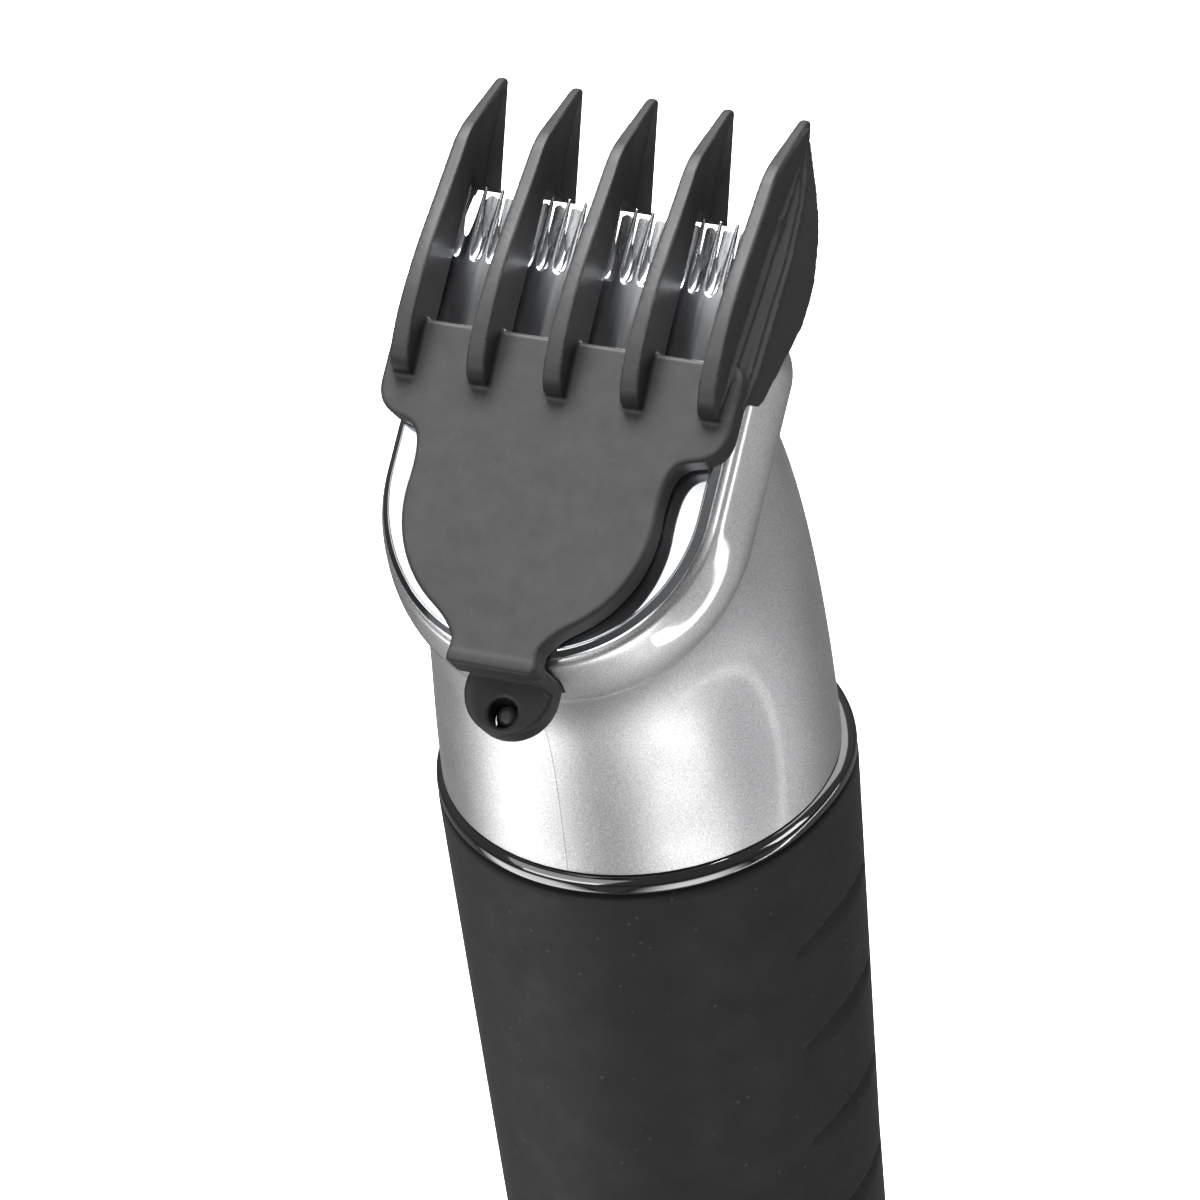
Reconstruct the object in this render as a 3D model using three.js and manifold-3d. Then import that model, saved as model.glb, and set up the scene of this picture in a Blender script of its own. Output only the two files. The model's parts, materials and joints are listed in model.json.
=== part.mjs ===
// A cordless hair clipper with its attachment comb, as separate named pieces. Millimetres, +Z up.
// The origin is the centre of the flat base. +Z runs up the handle, -Y is the side the comb and the
// blade face, and +X is the clipper's left when it is held with the blade away from the user.
// The head is built in a tilted frame of its own: x across, y up the blade face, z out of the face.
import * as THREE from "three";
import { mergeVertices } from "three/addons/utils/BufferGeometryUtils.js";
import { LoftGeometry } from "three/addons/geometries/LoftGeometry.js";
import { ConvexGeometry } from "three/addons/geometries/ConvexGeometry.js";
import Module from "manifold-3d";

const wasm = await Module();
wasm.setup();

// ---------------------------------------------------------------- driving dimensions
const GAP = 0.3; // clearance between pieces that touch
const NECK_Z = 104; // where the silver neck starts
const NECK_R = 22; // neck radius at its lower edge
const WALL = 2; // moulded wall thickness

const GRIP_TOP_Z = NECK_Z - 3.1;
const GRIP_TOP_R = 22.8;
const GRIP_TAPER = 0.018; // the grip narrows downwards by this much for each millimetre
const GRIP_BOTTOM_Z = 5.4;
const SLEEVE_WALL = 1.6;
const SCOOP_TOP_Z = NECK_Z - 18; // the highest of the finger scoops on each side of the grip
const SCOOP_PITCH = 14;
const SCOOP_COUNT = 5;
const SCOOP_DEPTH = 1.1;
const SCOOP_HALF_HEIGHT = 3;

const FACE_TILT = THREE.MathUtils.degToRad(36); // blade plane above the horizontal
const FACE_ORIGIN = new THREE.Vector3(0, -30.2, NECK_Z + 36.2); // lowest point of the blade's face

const BLADE_R = 18; // half the blade's width, and the radius of its round bottom
const BLADE_TIP = 50; // tooth tips, up the face
const BLADE_THICK = 1.2;
const TOOTH_PITCH = 1.9;
const FIXED_TEETH = 19;
const MOVING_TEETH = 16; // at rest each shows in a gap of the fixed blade; the two end gaps have none
const MOVING_HALF_WIDTH = 15.3;
const STROKE = 1; // the moving blade travels this far to each side
const BLADE_SCREW_X = 9;
const BLADE_SCREW_Y = 22.5;

const HEAD_R = 20.2; // head rim, half width at its widest
const HEAD_TOP = 42;
const HEAD_FRONT = -1.5; // head's front face, under the blade
const HEAD_BACK = -11.5;
const HEAD_CORNER = 6;
const NECK_END_CORNER = 12; // the neck is rounder than the head where they meet
const NECK_END_INSET = 1.6;
const NECK_END_DROP = 1.3; // the neck meets the head low, so that the chin is nearly flush

const COMB_TOP = 3.6; // top of the comb's plate above the blade's face
const COMB_UNDER = 0.4;
const FIN_PITCH = 8.6;
const FIN_COUNT = 5;
const FIN_THICK = 1.7;
const FIN_BASE = BLADE_TIP + 0.7; // behind the teeth, a fin reaches back from here to its tip
const GUARD_X = 20.2; // outer face of the comb's side walls
const GUARD_INNER_X = 19.1;
const GUARD_ROOT_X = 17.4; // inner face above the teeth, where a wall runs into the outer fin
const TAB_R = 4.9;
const TAB_Y = -2.7;
const TAB_FRONT = -3.5;
const TAB_BACK = -6.5;
const CATCH_Y = -5.2; // hole in the tab and the pin that snaps into it
const CATCH_HOLE_R = 1.6;
const CATCH_PIN_R = 1.25;

const MOTOR_R = 12;
const MOTOR_BOTTOM = NECK_Z - 6;
const MOTOR_TOP = NECK_Z + 28;
const SHAFT_R = 1.1;
const CRANK_OFFSET = 1;
const CRANK_R = 1;
const CAM_BOTTOM = NECK_Z + 33;
const CAM_TOP = NECK_Z + 38.5;
const CRANK_TOP = NECK_Z + 50.4;

const CELL_R = 9.1;
const CELL_Y = -4;
const CELL_BOTTOM = 22;
const CELL_LENGTH = 65;
const BOARD_Y = 10;
const SWITCH_Z = 68; // middle of the switch button at rest, on the back of the grip
const SWITCH_TRAVEL = 5;
const LIGHT_Z = 48;
const CONTACT_X = 5;
const BASE_SCREW_Y = 12;
const ROUND = 40; // segments round a visible ring
const SMALL_ROUND = 14;

// ---------------------------------------------------------------- finishes
const finish = (color, roughness, metalness) =>
  new THREE.MeshStandardMaterial({ color, roughness, metalness });
const finishes = {
  satin_silver: () => finish(0xb9b9bb, 0.38, 0.85),
  matte_black: () => finish(0x2b2b2c, 0.62, 0),
  comb_black: () => finish(0x3a3a3b, 0.55, 0),
  gloss_black: () => finish(0x0b0b0c, 0.08, 0),
  steel: () => finish(0xd8dadc, 0.12, 1),
  spring_steel: () => finish(0x9a9da0, 0.3, 1),
  brass: () => finish(0xc9a552, 0.3, 1),
  board_green: () => finish(0x1d5b3a, 0.5, 0),
  cell_blue: () => finish(0x2d4f86, 0.4, 0),
  nylon: () => finish(0xdcdcd4, 0.5, 0),
  lens: () => finish(0x9fe0a8, 0.15, 0),
};

// ---------------------------------------------------------------- solids and booleans
function toSolid(geometry) {
  const bare = geometry.index ? geometry.toNonIndexed() : geometry.clone();
  bare.deleteAttribute("normal");
  bare.deleteAttribute("uv");
  const merged = mergeVertices(bare, 1e-4);
  const build = (triVerts) =>
    new wasm.Manifold(
      new wasm.Mesh({ numProp: 3, vertProperties: merged.attributes.position.array, triVerts }),
    );
  const triangles = new Uint32Array(merged.index.array);
  const made = build(triangles);
  return made.volume() < 0 ? build(triangles.reverse()) : made;
}

function toGeometry(solid) {
  const mesh = solid.getMesh();
  const positions = new Float32Array(mesh.numVert * 3);
  for (let i = 0; i < mesh.numVert; i += 1) {
    positions.set(mesh.vertProperties.subarray(i * mesh.numProp, i * mesh.numProp + 3), i * 3);
  }
  const geometry = new THREE.BufferGeometry();
  geometry.setAttribute("position", new THREE.BufferAttribute(positions, 3));
  geometry.setIndex(new THREE.BufferAttribute(mesh.triVerts, 1));
  geometry.computeVertexNormals();
  return geometry;
}

const join = (...parts) => parts.map(toSolid).reduce((a, b) => a.add(b));
const cut = (base, ...tools) => tools.map(toSolid).reduce((a, b) => a.subtract(b), base);

// ---------------------------------------------------------------- simple shapes
function box(x0, x1, y0, y1, z0, z1) {
  return new THREE.BoxGeometry(x1 - x0, y1 - y0, z1 - z0).translate(
    (x0 + x1) / 2,
    (y0 + y1) / 2,
    (z0 + z1) / 2,
  );
}

function rod(radius, z0, z1, x = 0, y = 0, segments = SMALL_ROUND) {
  const cylinder = new THREE.CylinderGeometry(radius, radius, z1 - z0, segments);
  return cylinder.rotateX(Math.PI / 2).translate(x, y, (z0 + z1) / 2);
}

// A profile of [radius, z] pairs turned round the Z axis.
function turned(profile, segments = ROUND) {
  const points = profile.map(([r, z]) => new THREE.Vector2(r, z));
  return new THREE.LatheGeometry(points, segments).rotateX(Math.PI / 2);
}

// A closed profile is a ring: its last point repeats its first.
const ring = (profile, segments = ROUND) => turned([...profile, profile[0]], segments);

function extruded(shape, z0, z1, curveSegments = 12) {
  const options = { depth: z1 - z0, bevelEnabled: false, curveSegments };
  return new THREE.ExtrudeGeometry(shape, options).translate(0, 0, z0);
}

// A shape drawn in the face's (y, z) plane and extruded across the head, along x.
function acrossHead(shape, x0, x1, curveSegments = 12) {
  const turn = new THREE.Matrix4().makeBasis(
    new THREE.Vector3(0, 1, 0),
    new THREE.Vector3(0, 0, 1),
    new THREE.Vector3(1, 0, 0),
  );
  return extruded(shape, x0, x1, curveSegments).applyMatrix4(turn);
}

// ---------------------------------------------------------------- the scene graph
const SIDES = { left: -1, right: 1 }; // signs of x
const clipper = new THREE.Group();
const head = new THREE.Group();
head.position.copy(FACE_ORIGIN);
head.rotation.x = FACE_TILT;
clipper.add(head);
head.updateMatrix();
const toBody = (geometry) => geometry.applyMatrix4(head.matrix);

function place(parent, name, material, shape) {
  const geometry = shape.isBufferGeometry ? shape : toGeometry(shape);
  const mesh = new THREE.Mesh(geometry, finishes[material]());
  mesh.name = name;
  parent.add(mesh);
}

// ---------------------------------------------------------------- neck and head shells
// The head's outline: round at the bottom, straight sides, rounded top corners. It starts at the
// bottom centre and runs anticlockwise. inset shrinks it on all sides.
function headOutline(inset, count, cornerRadius = HEAD_CORNER) {
  const r = HEAD_R - inset;
  const top = HEAD_TOP - inset;
  const corner = cornerRadius - inset / 2;
  const shape = new THREE.Shape();
  shape.moveTo(0, BLADE_R - r);
  shape.absarc(0, BLADE_R, r, -Math.PI / 2, 0);
  shape.lineTo(r, top - corner);
  shape.absarc(r - corner, top - corner, corner, 0, Math.PI / 2);
  shape.lineTo(corner - r, top);
  shape.absarc(corner - r, top - corner, corner, Math.PI / 2, Math.PI);
  shape.lineTo(-r, BLADE_R);
  shape.absarc(0, BLADE_R, r, Math.PI, 1.5 * Math.PI);
  return shape.getSpacedPoints(count).slice(0, count);
}

const onFace = (point, z) => new THREE.Vector3(point.x, point.y, z).applyMatrix4(head.matrix);

// The neck sweeps from a level circle to the back of the tilted head.
function neckLoft(inset, lowZ) {
  const count = 40;
  const rows = 8;
  const outline = headOutline(inset + NECK_END_INSET, count, NECK_END_CORNER);
  const faceNormal = new THREE.Vector3(0, -Math.sin(FACE_TILT), Math.cos(FACE_TILT));
  const sections = [];
  const ends = outline.map((point, i) => {
    const angle = -Math.PI / 2 + (i / count) * 2 * Math.PI;
    const r = NECK_R - inset;
    const low = new THREE.Vector3(r * Math.cos(angle), r * Math.sin(angle), lowZ);
    point.y -= NECK_END_DROP;
    const high = onFace(point, HEAD_BACK + 1.5);
    const reach = low.distanceTo(high);
    const rise = new THREE.Vector3(0, 0, 0.4 * reach);
    const lean = faceNormal.clone().multiplyScalar(0.3 * reach);
    return new THREE.CubicBezierCurve3(low, low.clone().add(rise), high.clone().sub(lean), high);
  });
  for (let row = 0; row <= rows; row += 1) {
    sections.push(ends.map((curve) => curve.getPoint(row / rows)));
  }
  return new LoftGeometry(sections, { capStart: true, capEnd: true });
}

// The head itself, a thick plate with rounded edges, given as [inset, z] levels.
function headLoft(levels) {
  const sections = levels.map(([inset, z]) =>
    headOutline(inset, 52).map((point) => new THREE.Vector3(point.x, point.y, z)),
  );
  return toBody(new LoftGeometry(sections, { capStart: true, capEnd: true }));
}

function neckShell() {
  const outside = join(
    neckLoft(0, NECK_Z),
    headLoft([
      [1.5, HEAD_BACK],
      [0.5, HEAD_BACK + 0.5],
      [0, HEAD_BACK + 1.8],
      [0.1, HEAD_BACK + 3.5],
      [0.6, HEAD_BACK + 6],
      [1.2, HEAD_FRONT - 2],
      [1.8, HEAD_FRONT - 0.7],
      [2.4, HEAD_FRONT],
    ]),
  );
  const windowLow = 20;
  const windowHalf = 16.5;
  const windowBack = -7.2;
  return cut(
    outside,
    neckLoft(WALL, NECK_Z - 1),
    headLoft([
      [WALL + 1.4, HEAD_BACK - 0.5],
      [WALL + 1.4, HEAD_FRONT - WALL],
    ]),
    toBody(box(-windowHalf, windowHalf, windowLow, HEAD_TOP + 5, windowBack, 1)),
    toBody(box(-TAB_R - GAP, TAB_R + GAP, -6, -0.45, TAB_BACK - 2 * GAP, 1)), // recess for the tab
    guardRecess(-1),
    guardRecess(1),
  );
}

// The comb's side walls lie in shallow recesses in the sides of the head.
function guardRecess(side) {
  const [x0, x1] = side > 0 ? [GUARD_INNER_X - GAP, 30] : [-30, GAP - GUARD_INNER_X];
  return toBody(acrossHead(guardShape(GAP), x0, x1));
}

function addNeck() {
  const shell = neckShell();
  const parting = 0.06; // half the width of the parting line
  const reach = 60;
  Object.entries(SIDES).forEach(([side, sign]) => {
    const [x0, x1] = sign > 0 ? [parting, reach] : [-reach, -parting];
    const half = shell.intersect(toSolid(box(x0, x1, -reach, reach, NECK_Z - 5, NECK_Z + 90)));
    place(clipper, "neck_shell_" + side, "satin_silver", half);
  });
  const seal = [];
  const sealR = 0.5;
  for (let i = 0; i < 6; i += 1) {
    const angle = (i / 6) * 2 * Math.PI;
    seal.push([19.3 + sealR * Math.cos(angle), NECK_Z + 4 + sealR * Math.sin(angle)]);
  }
  place(clipper, "neck_seal", "matte_black", ring(seal, 24));
}

// ---------------------------------------------------------------- blades
// A plate with teeth along its top edge. The teeth stand at one pitch about x = 0.
function toothedShape({ halfWidth, teeth, base, gullet, tip, roundBottom }) {
  const shape = new THREE.Shape();
  const shoulder = tip - 1.2;
  if (roundBottom) {
    shape.absarc(0, BLADE_R, halfWidth, Math.PI, 2 * Math.PI);
  } else {
    shape.moveTo(-halfWidth, base);
    shape.lineTo(halfWidth, base);
  }
  shape.lineTo(halfWidth, shoulder);
  for (let i = 0; i < teeth; i += 1) {
    const x = ((teeth - 1) / 2 - i) * TOOTH_PITCH;
    const last = i === teeth - 1;
    if (i > 0) {
      shape.quadraticCurveTo(x + TOOTH_PITCH / 2, gullet - 1, x + 0.6, gullet + 0.8);
      shape.lineTo(x + 0.4, shoulder);
    }
    shape.quadraticCurveTo(x, tip + 0.8, x - (last ? halfWidth + x : 0.4), shoulder);
    shape.lineTo(last ? -halfWidth : x - 0.6, gullet + 0.8);
  }
  return shape;
}

const bladeScrewHoles = (radius, low) =>
  [-BLADE_SCREW_X, BLADE_SCREW_X].map((x) => rod(radius, low, 1, x, BLADE_SCREW_Y));

function addBlades() {
  const fixed = toothedShape({
    halfWidth: BLADE_R,
    teeth: FIXED_TEETH,
    gullet: 41,
    tip: BLADE_TIP,
    roundBottom: true,
  });
  const screwHead = 2.6;
  const plate = cut(
    toSolid(extruded(fixed, -BLADE_THICK, 0, 3)),
    ...bladeScrewHoles(screwHead + GAP, -BLADE_THICK - 1),
  );
  place(head, "fixed_blade", "steel", plate);
  Object.entries(SIDES).forEach(([side, sign]) => {
    const [x, y] = [sign * BLADE_SCREW_X, BLADE_SCREW_Y];
    const screw = join(rod(screwHead, -1, 0.1, x, y), rod(1.2, -8.5, -0.9, x, y));
    const slotted = cut(screw, box(x - 3, x + 3, y - 0.35, y + 0.35, -0.4, 1));
    place(head, "blade_screw_" + side, "spring_steel", slotted);
  });

  const movingTop = -BLADE_THICK - GAP;
  const moving = toothedShape({
    halfWidth: MOVING_HALF_WIDTH,
    teeth: MOVING_TEETH,
    base: 28,
    gullet: 42,
    tip: BLADE_TIP - 1,
  });
  place(head, "moving_blade", "steel", extruded(moving, movingTop - BLADE_THICK, movingTop, 3));

  const yokeSlot = CRANK_R + CRANK_OFFSET + STROKE + 0.1;
  const yokeHalf = yokeSlot + 1.3;
  const yokeFront = movingTop - BLADE_THICK - GAP;
  const yoke = cut(
    toSolid(box(-yokeHalf, yokeHalf, 29, 37.5, -9.6, yokeFront)),
    box(-yokeSlot, yokeSlot, 20, 50, -20, -4.2),
  );
  place(head, "drive_yoke", "nylon", yoke);

  const carrierTop = yokeFront - GAP;
  const carrier = cut(
    join(
      box(-16.2, 16.2, 20.3, HEAD_TOP - 0.3, -6.9, carrierTop),
      box(-14, 14, 20.3, 27.4, -4, -BLADE_THICK - GAP),
    ),
    box(-6, 6, 28.2, 38.6, -10, 0),
    ...bladeScrewHoles(1.6, -10),
    box(-12, 12, 38.9, 40.6, -5.6, 0), // groove for the tension spring
  );
  place(head, "blade_carrier", "matte_black", carrier);
  place(head, "tension_spring", "spring_steel", springLeaf());
}

// A flat spring in the carrier's groove: its bowed middle presses the moving blade forwards.
function springLeaf() {
  const z = -4.9;
  const bow = 1.3;
  const half = 11.5;
  const thick = 0.35;
  const shape = new THREE.Shape();
  shape.moveTo(-half, z);
  shape.quadraticCurveTo(0, z + 2 * bow, half, z);
  shape.lineTo(half, z - thick);
  shape.quadraticCurveTo(0, z + 2 * bow - thick, -half, z - thick);
  shape.closePath();
  const leaf = extruded(shape, -0.6, 0.6, 14);
  return leaf.rotateX(Math.PI / 2).translate(0, 39.75, 0);
}

// ---------------------------------------------------------------- attachment comb
// Half of the comb plate's outline, from the bend above the tab up to the plate's top edge.
function combShape() {
  const half = new THREE.CurvePath();
  const v = (x, y) => new THREE.Vector2(x, y);
  const neckX = TAB_R;
  const bulgeY = 15;
  const bulgeR = 13.9;
  const start = -0.95; // angle on the bulge where the neck's fillet ends
  const filletEnd = v(bulgeR * Math.cos(start), bulgeY + bulgeR * Math.sin(start));
  const shoulderX = 19.6;
  const top = 33.6;
  half.add(new THREE.LineCurve(v(neckX, -2), v(neckX, 0.3)));
  half.add(new THREE.QuadraticBezierCurve(v(neckX, 0.3), v(5.6, 2), filletEnd));
  half.add(new THREE.EllipseCurve(0, bulgeY, bulgeR, bulgeR, start, 0.1));
  const bulgeTop = v(bulgeR * Math.cos(0.1), bulgeY + bulgeR * Math.sin(0.1));
  half.add(new THREE.CubicBezierCurve(bulgeTop, v(13.6, 21.4), v(14.6, 22.3), v(16.4, 22.7)));
  half.add(new THREE.CubicBezierCurve(v(16.4, 22.7), v(18.6, 23.1), v(19.6, 24.4), v(shoulderX, 26.6)));
  half.add(new THREE.LineCurve(v(shoulderX, 26.6), v(shoulderX, top - 1.5)));
  half.add(new THREE.QuadraticBezierCurve(v(shoulderX, top - 1.5), v(shoulderX, top), v(18, top)));
  const right = half.getPoints(6);
  const left = right.map((p) => v(-p.x, p.y)).reverse();
  return new THREE.Shape([...right, ...left]);
}

// One fin's side view. Its foot stands on the plate, its tip reaches round the blade's teeth.
function finShape() {
  const shape = new THREE.Shape();
  const foot = 27.3;
  shape.moveTo(foot, COMB_UNDER + 1);
  shape.lineTo(foot, 4.6);
  shape.quadraticCurveTo(foot + 1.3, 7.2, 33, 7.5);
  shape.quadraticCurveTo(38, 7.8, 44, 6.3);
  shape.lineTo(53.2, 4.3);
  shape.quadraticCurveTo(54.4, 3.9, 55.6, 2.9);
  shape.lineTo(61.4, -1.9);
  shape.quadraticCurveTo(63, -3.2, 61.8, -3.2);
  shape.lineTo(FIN_BASE, -4.9);
  shape.lineTo(FIN_BASE, COMB_UNDER);
  shape.lineTo(foot + 4, COMB_UNDER);
  shape.closePath();
  return shape;
}

// The wedge behind the fin's tip, which widens towards the teeth to lift the hair.
function finWedge(x) {
  const corners = [
    [0.8, FIN_BASE, -1.9],
    [2.2, FIN_BASE, -4.6],
    [2.2, FIN_BASE, -5.1],
    [0.4, 62, -1.9],
    [0.4, 62, -2.8],
  ];
  return new ConvexGeometry(
    Object.values(SIDES).flatMap((sign) =>
      corners.map(([half, y, z]) => new THREE.Vector3(x + sign * half, y, z)),
    ),
  );
}

// Side view of the wall that hugs the side of the head, from the plate's shoulder to the tip of the
// outer fin. grow widens it where it lies in the head.
function guardShape(grow = 0) {
  const corners = [
    [29.6 - grow, 1.2],
    [31.3 - grow, -0.6 - grow],
    [39.7 - grow, -7.4 - grow],
    [43.2, -9.8 - grow],
    [47.6, -9.6 - grow],
    [52.3 + grow, -8.3],
    [61, -2.8],
    [62, -1.9],
    [60.5, -0.6],
    [52, 0.4],
    [33, 1.2],
  ];
  return new THREE.Shape(corners.map(([y, z]) => new THREE.Vector2(y, z)));
}

// One side wall. Its outside tapers in to the tip of the outer fin, and its front edge is bevelled.
function sideGuard(sign) {
  const hull = (corners, toPoints) =>
    new ConvexGeometry(corners.flatMap(([x, other]) => toPoints(sign * x, other)));
  const taper = [
    [GUARD_X, 47],
    [17.9, 64],
    [24, 64],
    [24, 47],
  ];
  const bevel = [
    [GUARD_ROOT_X + 0.5, COMB_UNDER],
    [GUARD_X + 0.3, -2.2],
    [GUARD_X + 0.3, 6],
    [GUARD_ROOT_X + 0.5, 6],
  ];
  const span = [sign * GUARD_ROOT_X, sign * GUARD_X].sort((a, b) => a - b);
  const inside = [0, sign * GUARD_INNER_X].sort((a, b) => a - b);
  return cut(
    toSolid(acrossHead(guardShape(), ...span)),
    hull(taper, (x, y) => [-20, 20].map((z) => new THREE.Vector3(x, y, z))),
    hull(bevel, (x, z) => [34.5, 70].map((y) => new THREE.Vector3(x, y, z))),
    box(...inside, 0, FIN_BASE, -20, COMB_UNDER),
  );
}

function addComb() {
  const plate = extruded(combShape(), COMB_UNDER, COMB_TOP);
  const stepFront = box(-TAB_R, TAB_R, -2, -0.75, TAB_BACK, COMB_TOP);
  const stepShape = new THREE.Shape(
    [
      [-0.75, COMB_TOP],
      [-1.7, COMB_TOP],
      [-2.7, TAB_FRONT],
      [-2.7, TAB_BACK],
      [-0.75, TAB_BACK],
    ].map(([y, z]) => new THREE.Vector2(y, z)),
  );
  const disc = new THREE.Shape();
  disc.absarc(0, TAB_Y, TAB_R, Math.PI, 2 * Math.PI);
  disc.lineTo(TAB_R, -0.75);
  disc.lineTo(-TAB_R, -0.75);
  const step = acrossHead(stepShape, -TAB_R, TAB_R);
  let comb = join(plate, stepFront, step, extruded(disc, TAB_BACK, TAB_FRONT));
  for (let i = 0; i < FIN_COUNT; i += 1) {
    const x = (i - (FIN_COUNT - 1) / 2) * FIN_PITCH;
    comb = comb.add(toSolid(acrossHead(finShape(), x - FIN_THICK / 2, x + FIN_THICK / 2, 6)));
    comb = comb.add(toSolid(finWedge(x)));
  }
  comb = comb.add(sideGuard(1)).add(sideGuard(-1));
  comb = cut(comb, rod(CATCH_HOLE_R, TAB_BACK - 1, TAB_FRONT + 1, 0, CATCH_Y, 20));
  place(head, "attachment_comb", "comb_black", comb);

  const bracket = join(
    box(-1.6, 1.6, -6.4, -2.3, -8.8, TAB_BACK - GAP),
    rod(CATCH_PIN_R, -8, TAB_FRONT - 0.8, 0, CATCH_Y),
  );
  place(head, "comb_catch", "matte_black", bracket);
}

// ---------------------------------------------------------------- motor and crank
function addMotor() {
  const bossTop = MOTOR_TOP + 1.2;
  const bearing = SHAFT_R + 0.25;
  const can = ring([
    [bearing, MOTOR_BOTTOM + 8],
    [bearing, bossTop],
    [3.4, bossTop],
    [3.4, MOTOR_TOP],
    [MOTOR_R - 0.8, MOTOR_TOP],
    [MOTOR_R, MOTOR_TOP - 0.8],
    [MOTOR_R, MOTOR_BOTTOM],
    [6, MOTOR_BOTTOM],
    [6, MOTOR_BOTTOM + 3],
    [2, MOTOR_BOTTOM + 3],
    [2, MOTOR_BOTTOM + 8],
  ]);
  const screwX = 8;
  const holes = (radius, low, high) => [-screwX, screwX].map((x) => rod(radius, low, high, x));
  const tapped = holes(1.4, MOTOR_TOP - 5, MOTOR_TOP + 1);
  place(clipper, "motor_can", "spring_steel", cut(toSolid(can), ...tapped));

  const mountLow = MOTOR_TOP + GAP;
  const mountHigh = mountLow + 2;
  const mount = cut(
    toSolid(rod(15.5, mountLow, mountHigh, 0, -1, ROUND)),
    rod(4.2, mountLow - 1, mountHigh + 1),
    ...holes(1.6, mountLow - 1, mountHigh + 1),
  );
  place(clipper, "motor_mount", "matte_black", mount);
  Object.entries(SIDES).forEach(([side, sign]) => {
    const x = sign * screwX;
    const headLow = mountHigh + GAP;
    const screw = join(
      rod(1.1, MOTOR_TOP - 4, headLow + 0.5, x),
      rod(2.1, headLow, headLow + 1.4, x),
    );
    place(clipper, "motor_screw_" + side, "spring_steel", screw);
  });

  place(clipper, "motor_shaft", "spring_steel", rod(SHAFT_R, MOTOR_BOTTOM + 9, CAM_TOP - 2.2));
  const bore = SHAFT_R + 0.15;
  const cam = turned([
    [0, CAM_TOP],
    [4.5, CAM_TOP],
    [4.5, CAM_BOTTOM],
    [bore, CAM_BOTTOM],
    [bore, CAM_TOP - 2],
    [0, CAM_TOP - 2],
  ], 28);
  const crank = rod(CRANK_R, CAM_TOP - 1, CRANK_TOP, CRANK_OFFSET);
  place(clipper, "eccentric_cam", "nylon", join(cam, crank));
}

// ---------------------------------------------------------------- handle
const gripRadius = (z) => GRIP_TOP_R - GRIP_TAPER * (GRIP_TOP_Z - z);

// Level scoops down both sides of the rubber, each a stretched ball let into the surface.
function gripScoops() {
  const scoops = [];
  for (const side of [-1, 1]) {
    for (let i = 0; i < SCOOP_COUNT; i += 1) {
      const z = SCOOP_TOP_Z - i * SCOOP_PITCH;
      const ball = new THREE.SphereGeometry(1, 10, 6).scale(SCOOP_DEPTH + 2.5, 12, SCOOP_HALF_HEIGHT);
      scoops.push(ball.translate(side * (gripRadius(z) + 2.5), 0, z));
    }
  }
  return scoops;
}

function addHandle() {
  const coreOutside = (z) => gripRadius(z) - SLEEVE_WALL - GAP;
  const innerTop = gripRadius(GRIP_TOP_Z) - SLEEVE_WALL;
  const innerBottom = gripRadius(GRIP_BOTTOM_Z) - SLEEVE_WALL;
  const sleeve = ring([
    [innerBottom, GRIP_BOTTOM_Z],
    [gripRadius(GRIP_BOTTOM_Z), GRIP_BOTTOM_Z],
    [gripRadius(GRIP_TOP_Z - 0.6), GRIP_TOP_Z - 0.6],
    [GRIP_TOP_R - 0.6, GRIP_TOP_Z],
    [innerTop, GRIP_TOP_Z],
  ]);
  const slotLow = SWITCH_Z - 7;
  const slotHigh = SWITCH_Z + SWITCH_TRAVEL + 7;
  const sleeveSolid = cut(
    toSolid(sleeve),
    box(-5.6, 5.6, 15, 30, slotLow, slotHigh),
    rod(1.6, 12, 26, 0, 0, SMALL_ROUND).rotateX(-Math.PI / 2).translate(0, 0, LIGHT_Z),
    ...gripScoops(),
  );
  place(clipper, "grip_sleeve", "matte_black", sleeveSolid);

  const spigotR = 18.5;
  const spigotTop = NECK_Z + 7;
  const spigotStart = NECK_Z + 0.4;
  const core = ring([
    [coreOutside(GRIP_BOTTOM_Z) - WALL, GRIP_BOTTOM_Z],
    [coreOutside(GRIP_BOTTOM_Z), GRIP_BOTTOM_Z],
    [coreOutside(GRIP_TOP_Z), GRIP_TOP_Z],
    [19.6, GRIP_TOP_Z + 0.2],
    [19.6, spigotStart],
    [spigotR, spigotStart],
    [spigotR, spigotTop],
    [spigotR - 1.4, spigotTop],
    [spigotR - 1.4, GRIP_TOP_Z],
  ], ROUND);
  const coreSolid = cut(
    toSolid(core),
    box(-2.4, 2.4, 10, 30, SWITCH_Z - 3, SWITCH_Z + SWITCH_TRAVEL + 3),
    rod(1.6, 12, 26, 0, 0, SMALL_ROUND).rotateX(-Math.PI / 2).translate(0, 0, LIGHT_Z),
  );
  place(clipper, "handle_core", "matte_black", coreSolid);

  const ringLow = GRIP_TOP_Z + 0.25;
  const ringHigh = NECK_Z - 0.25;
  const trim = ring([
    [19.9, ringLow],
    [22, ringLow],
    [22.6, ringLow + 0.5],
    [22.75, (ringLow + ringHigh) / 2],
    [22.5, ringHigh - 0.5],
    [21.8, ringHigh],
    [19.9, ringHigh],
  ]);
  place(clipper, "trim_ring", "gloss_black", trim);
}

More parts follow.
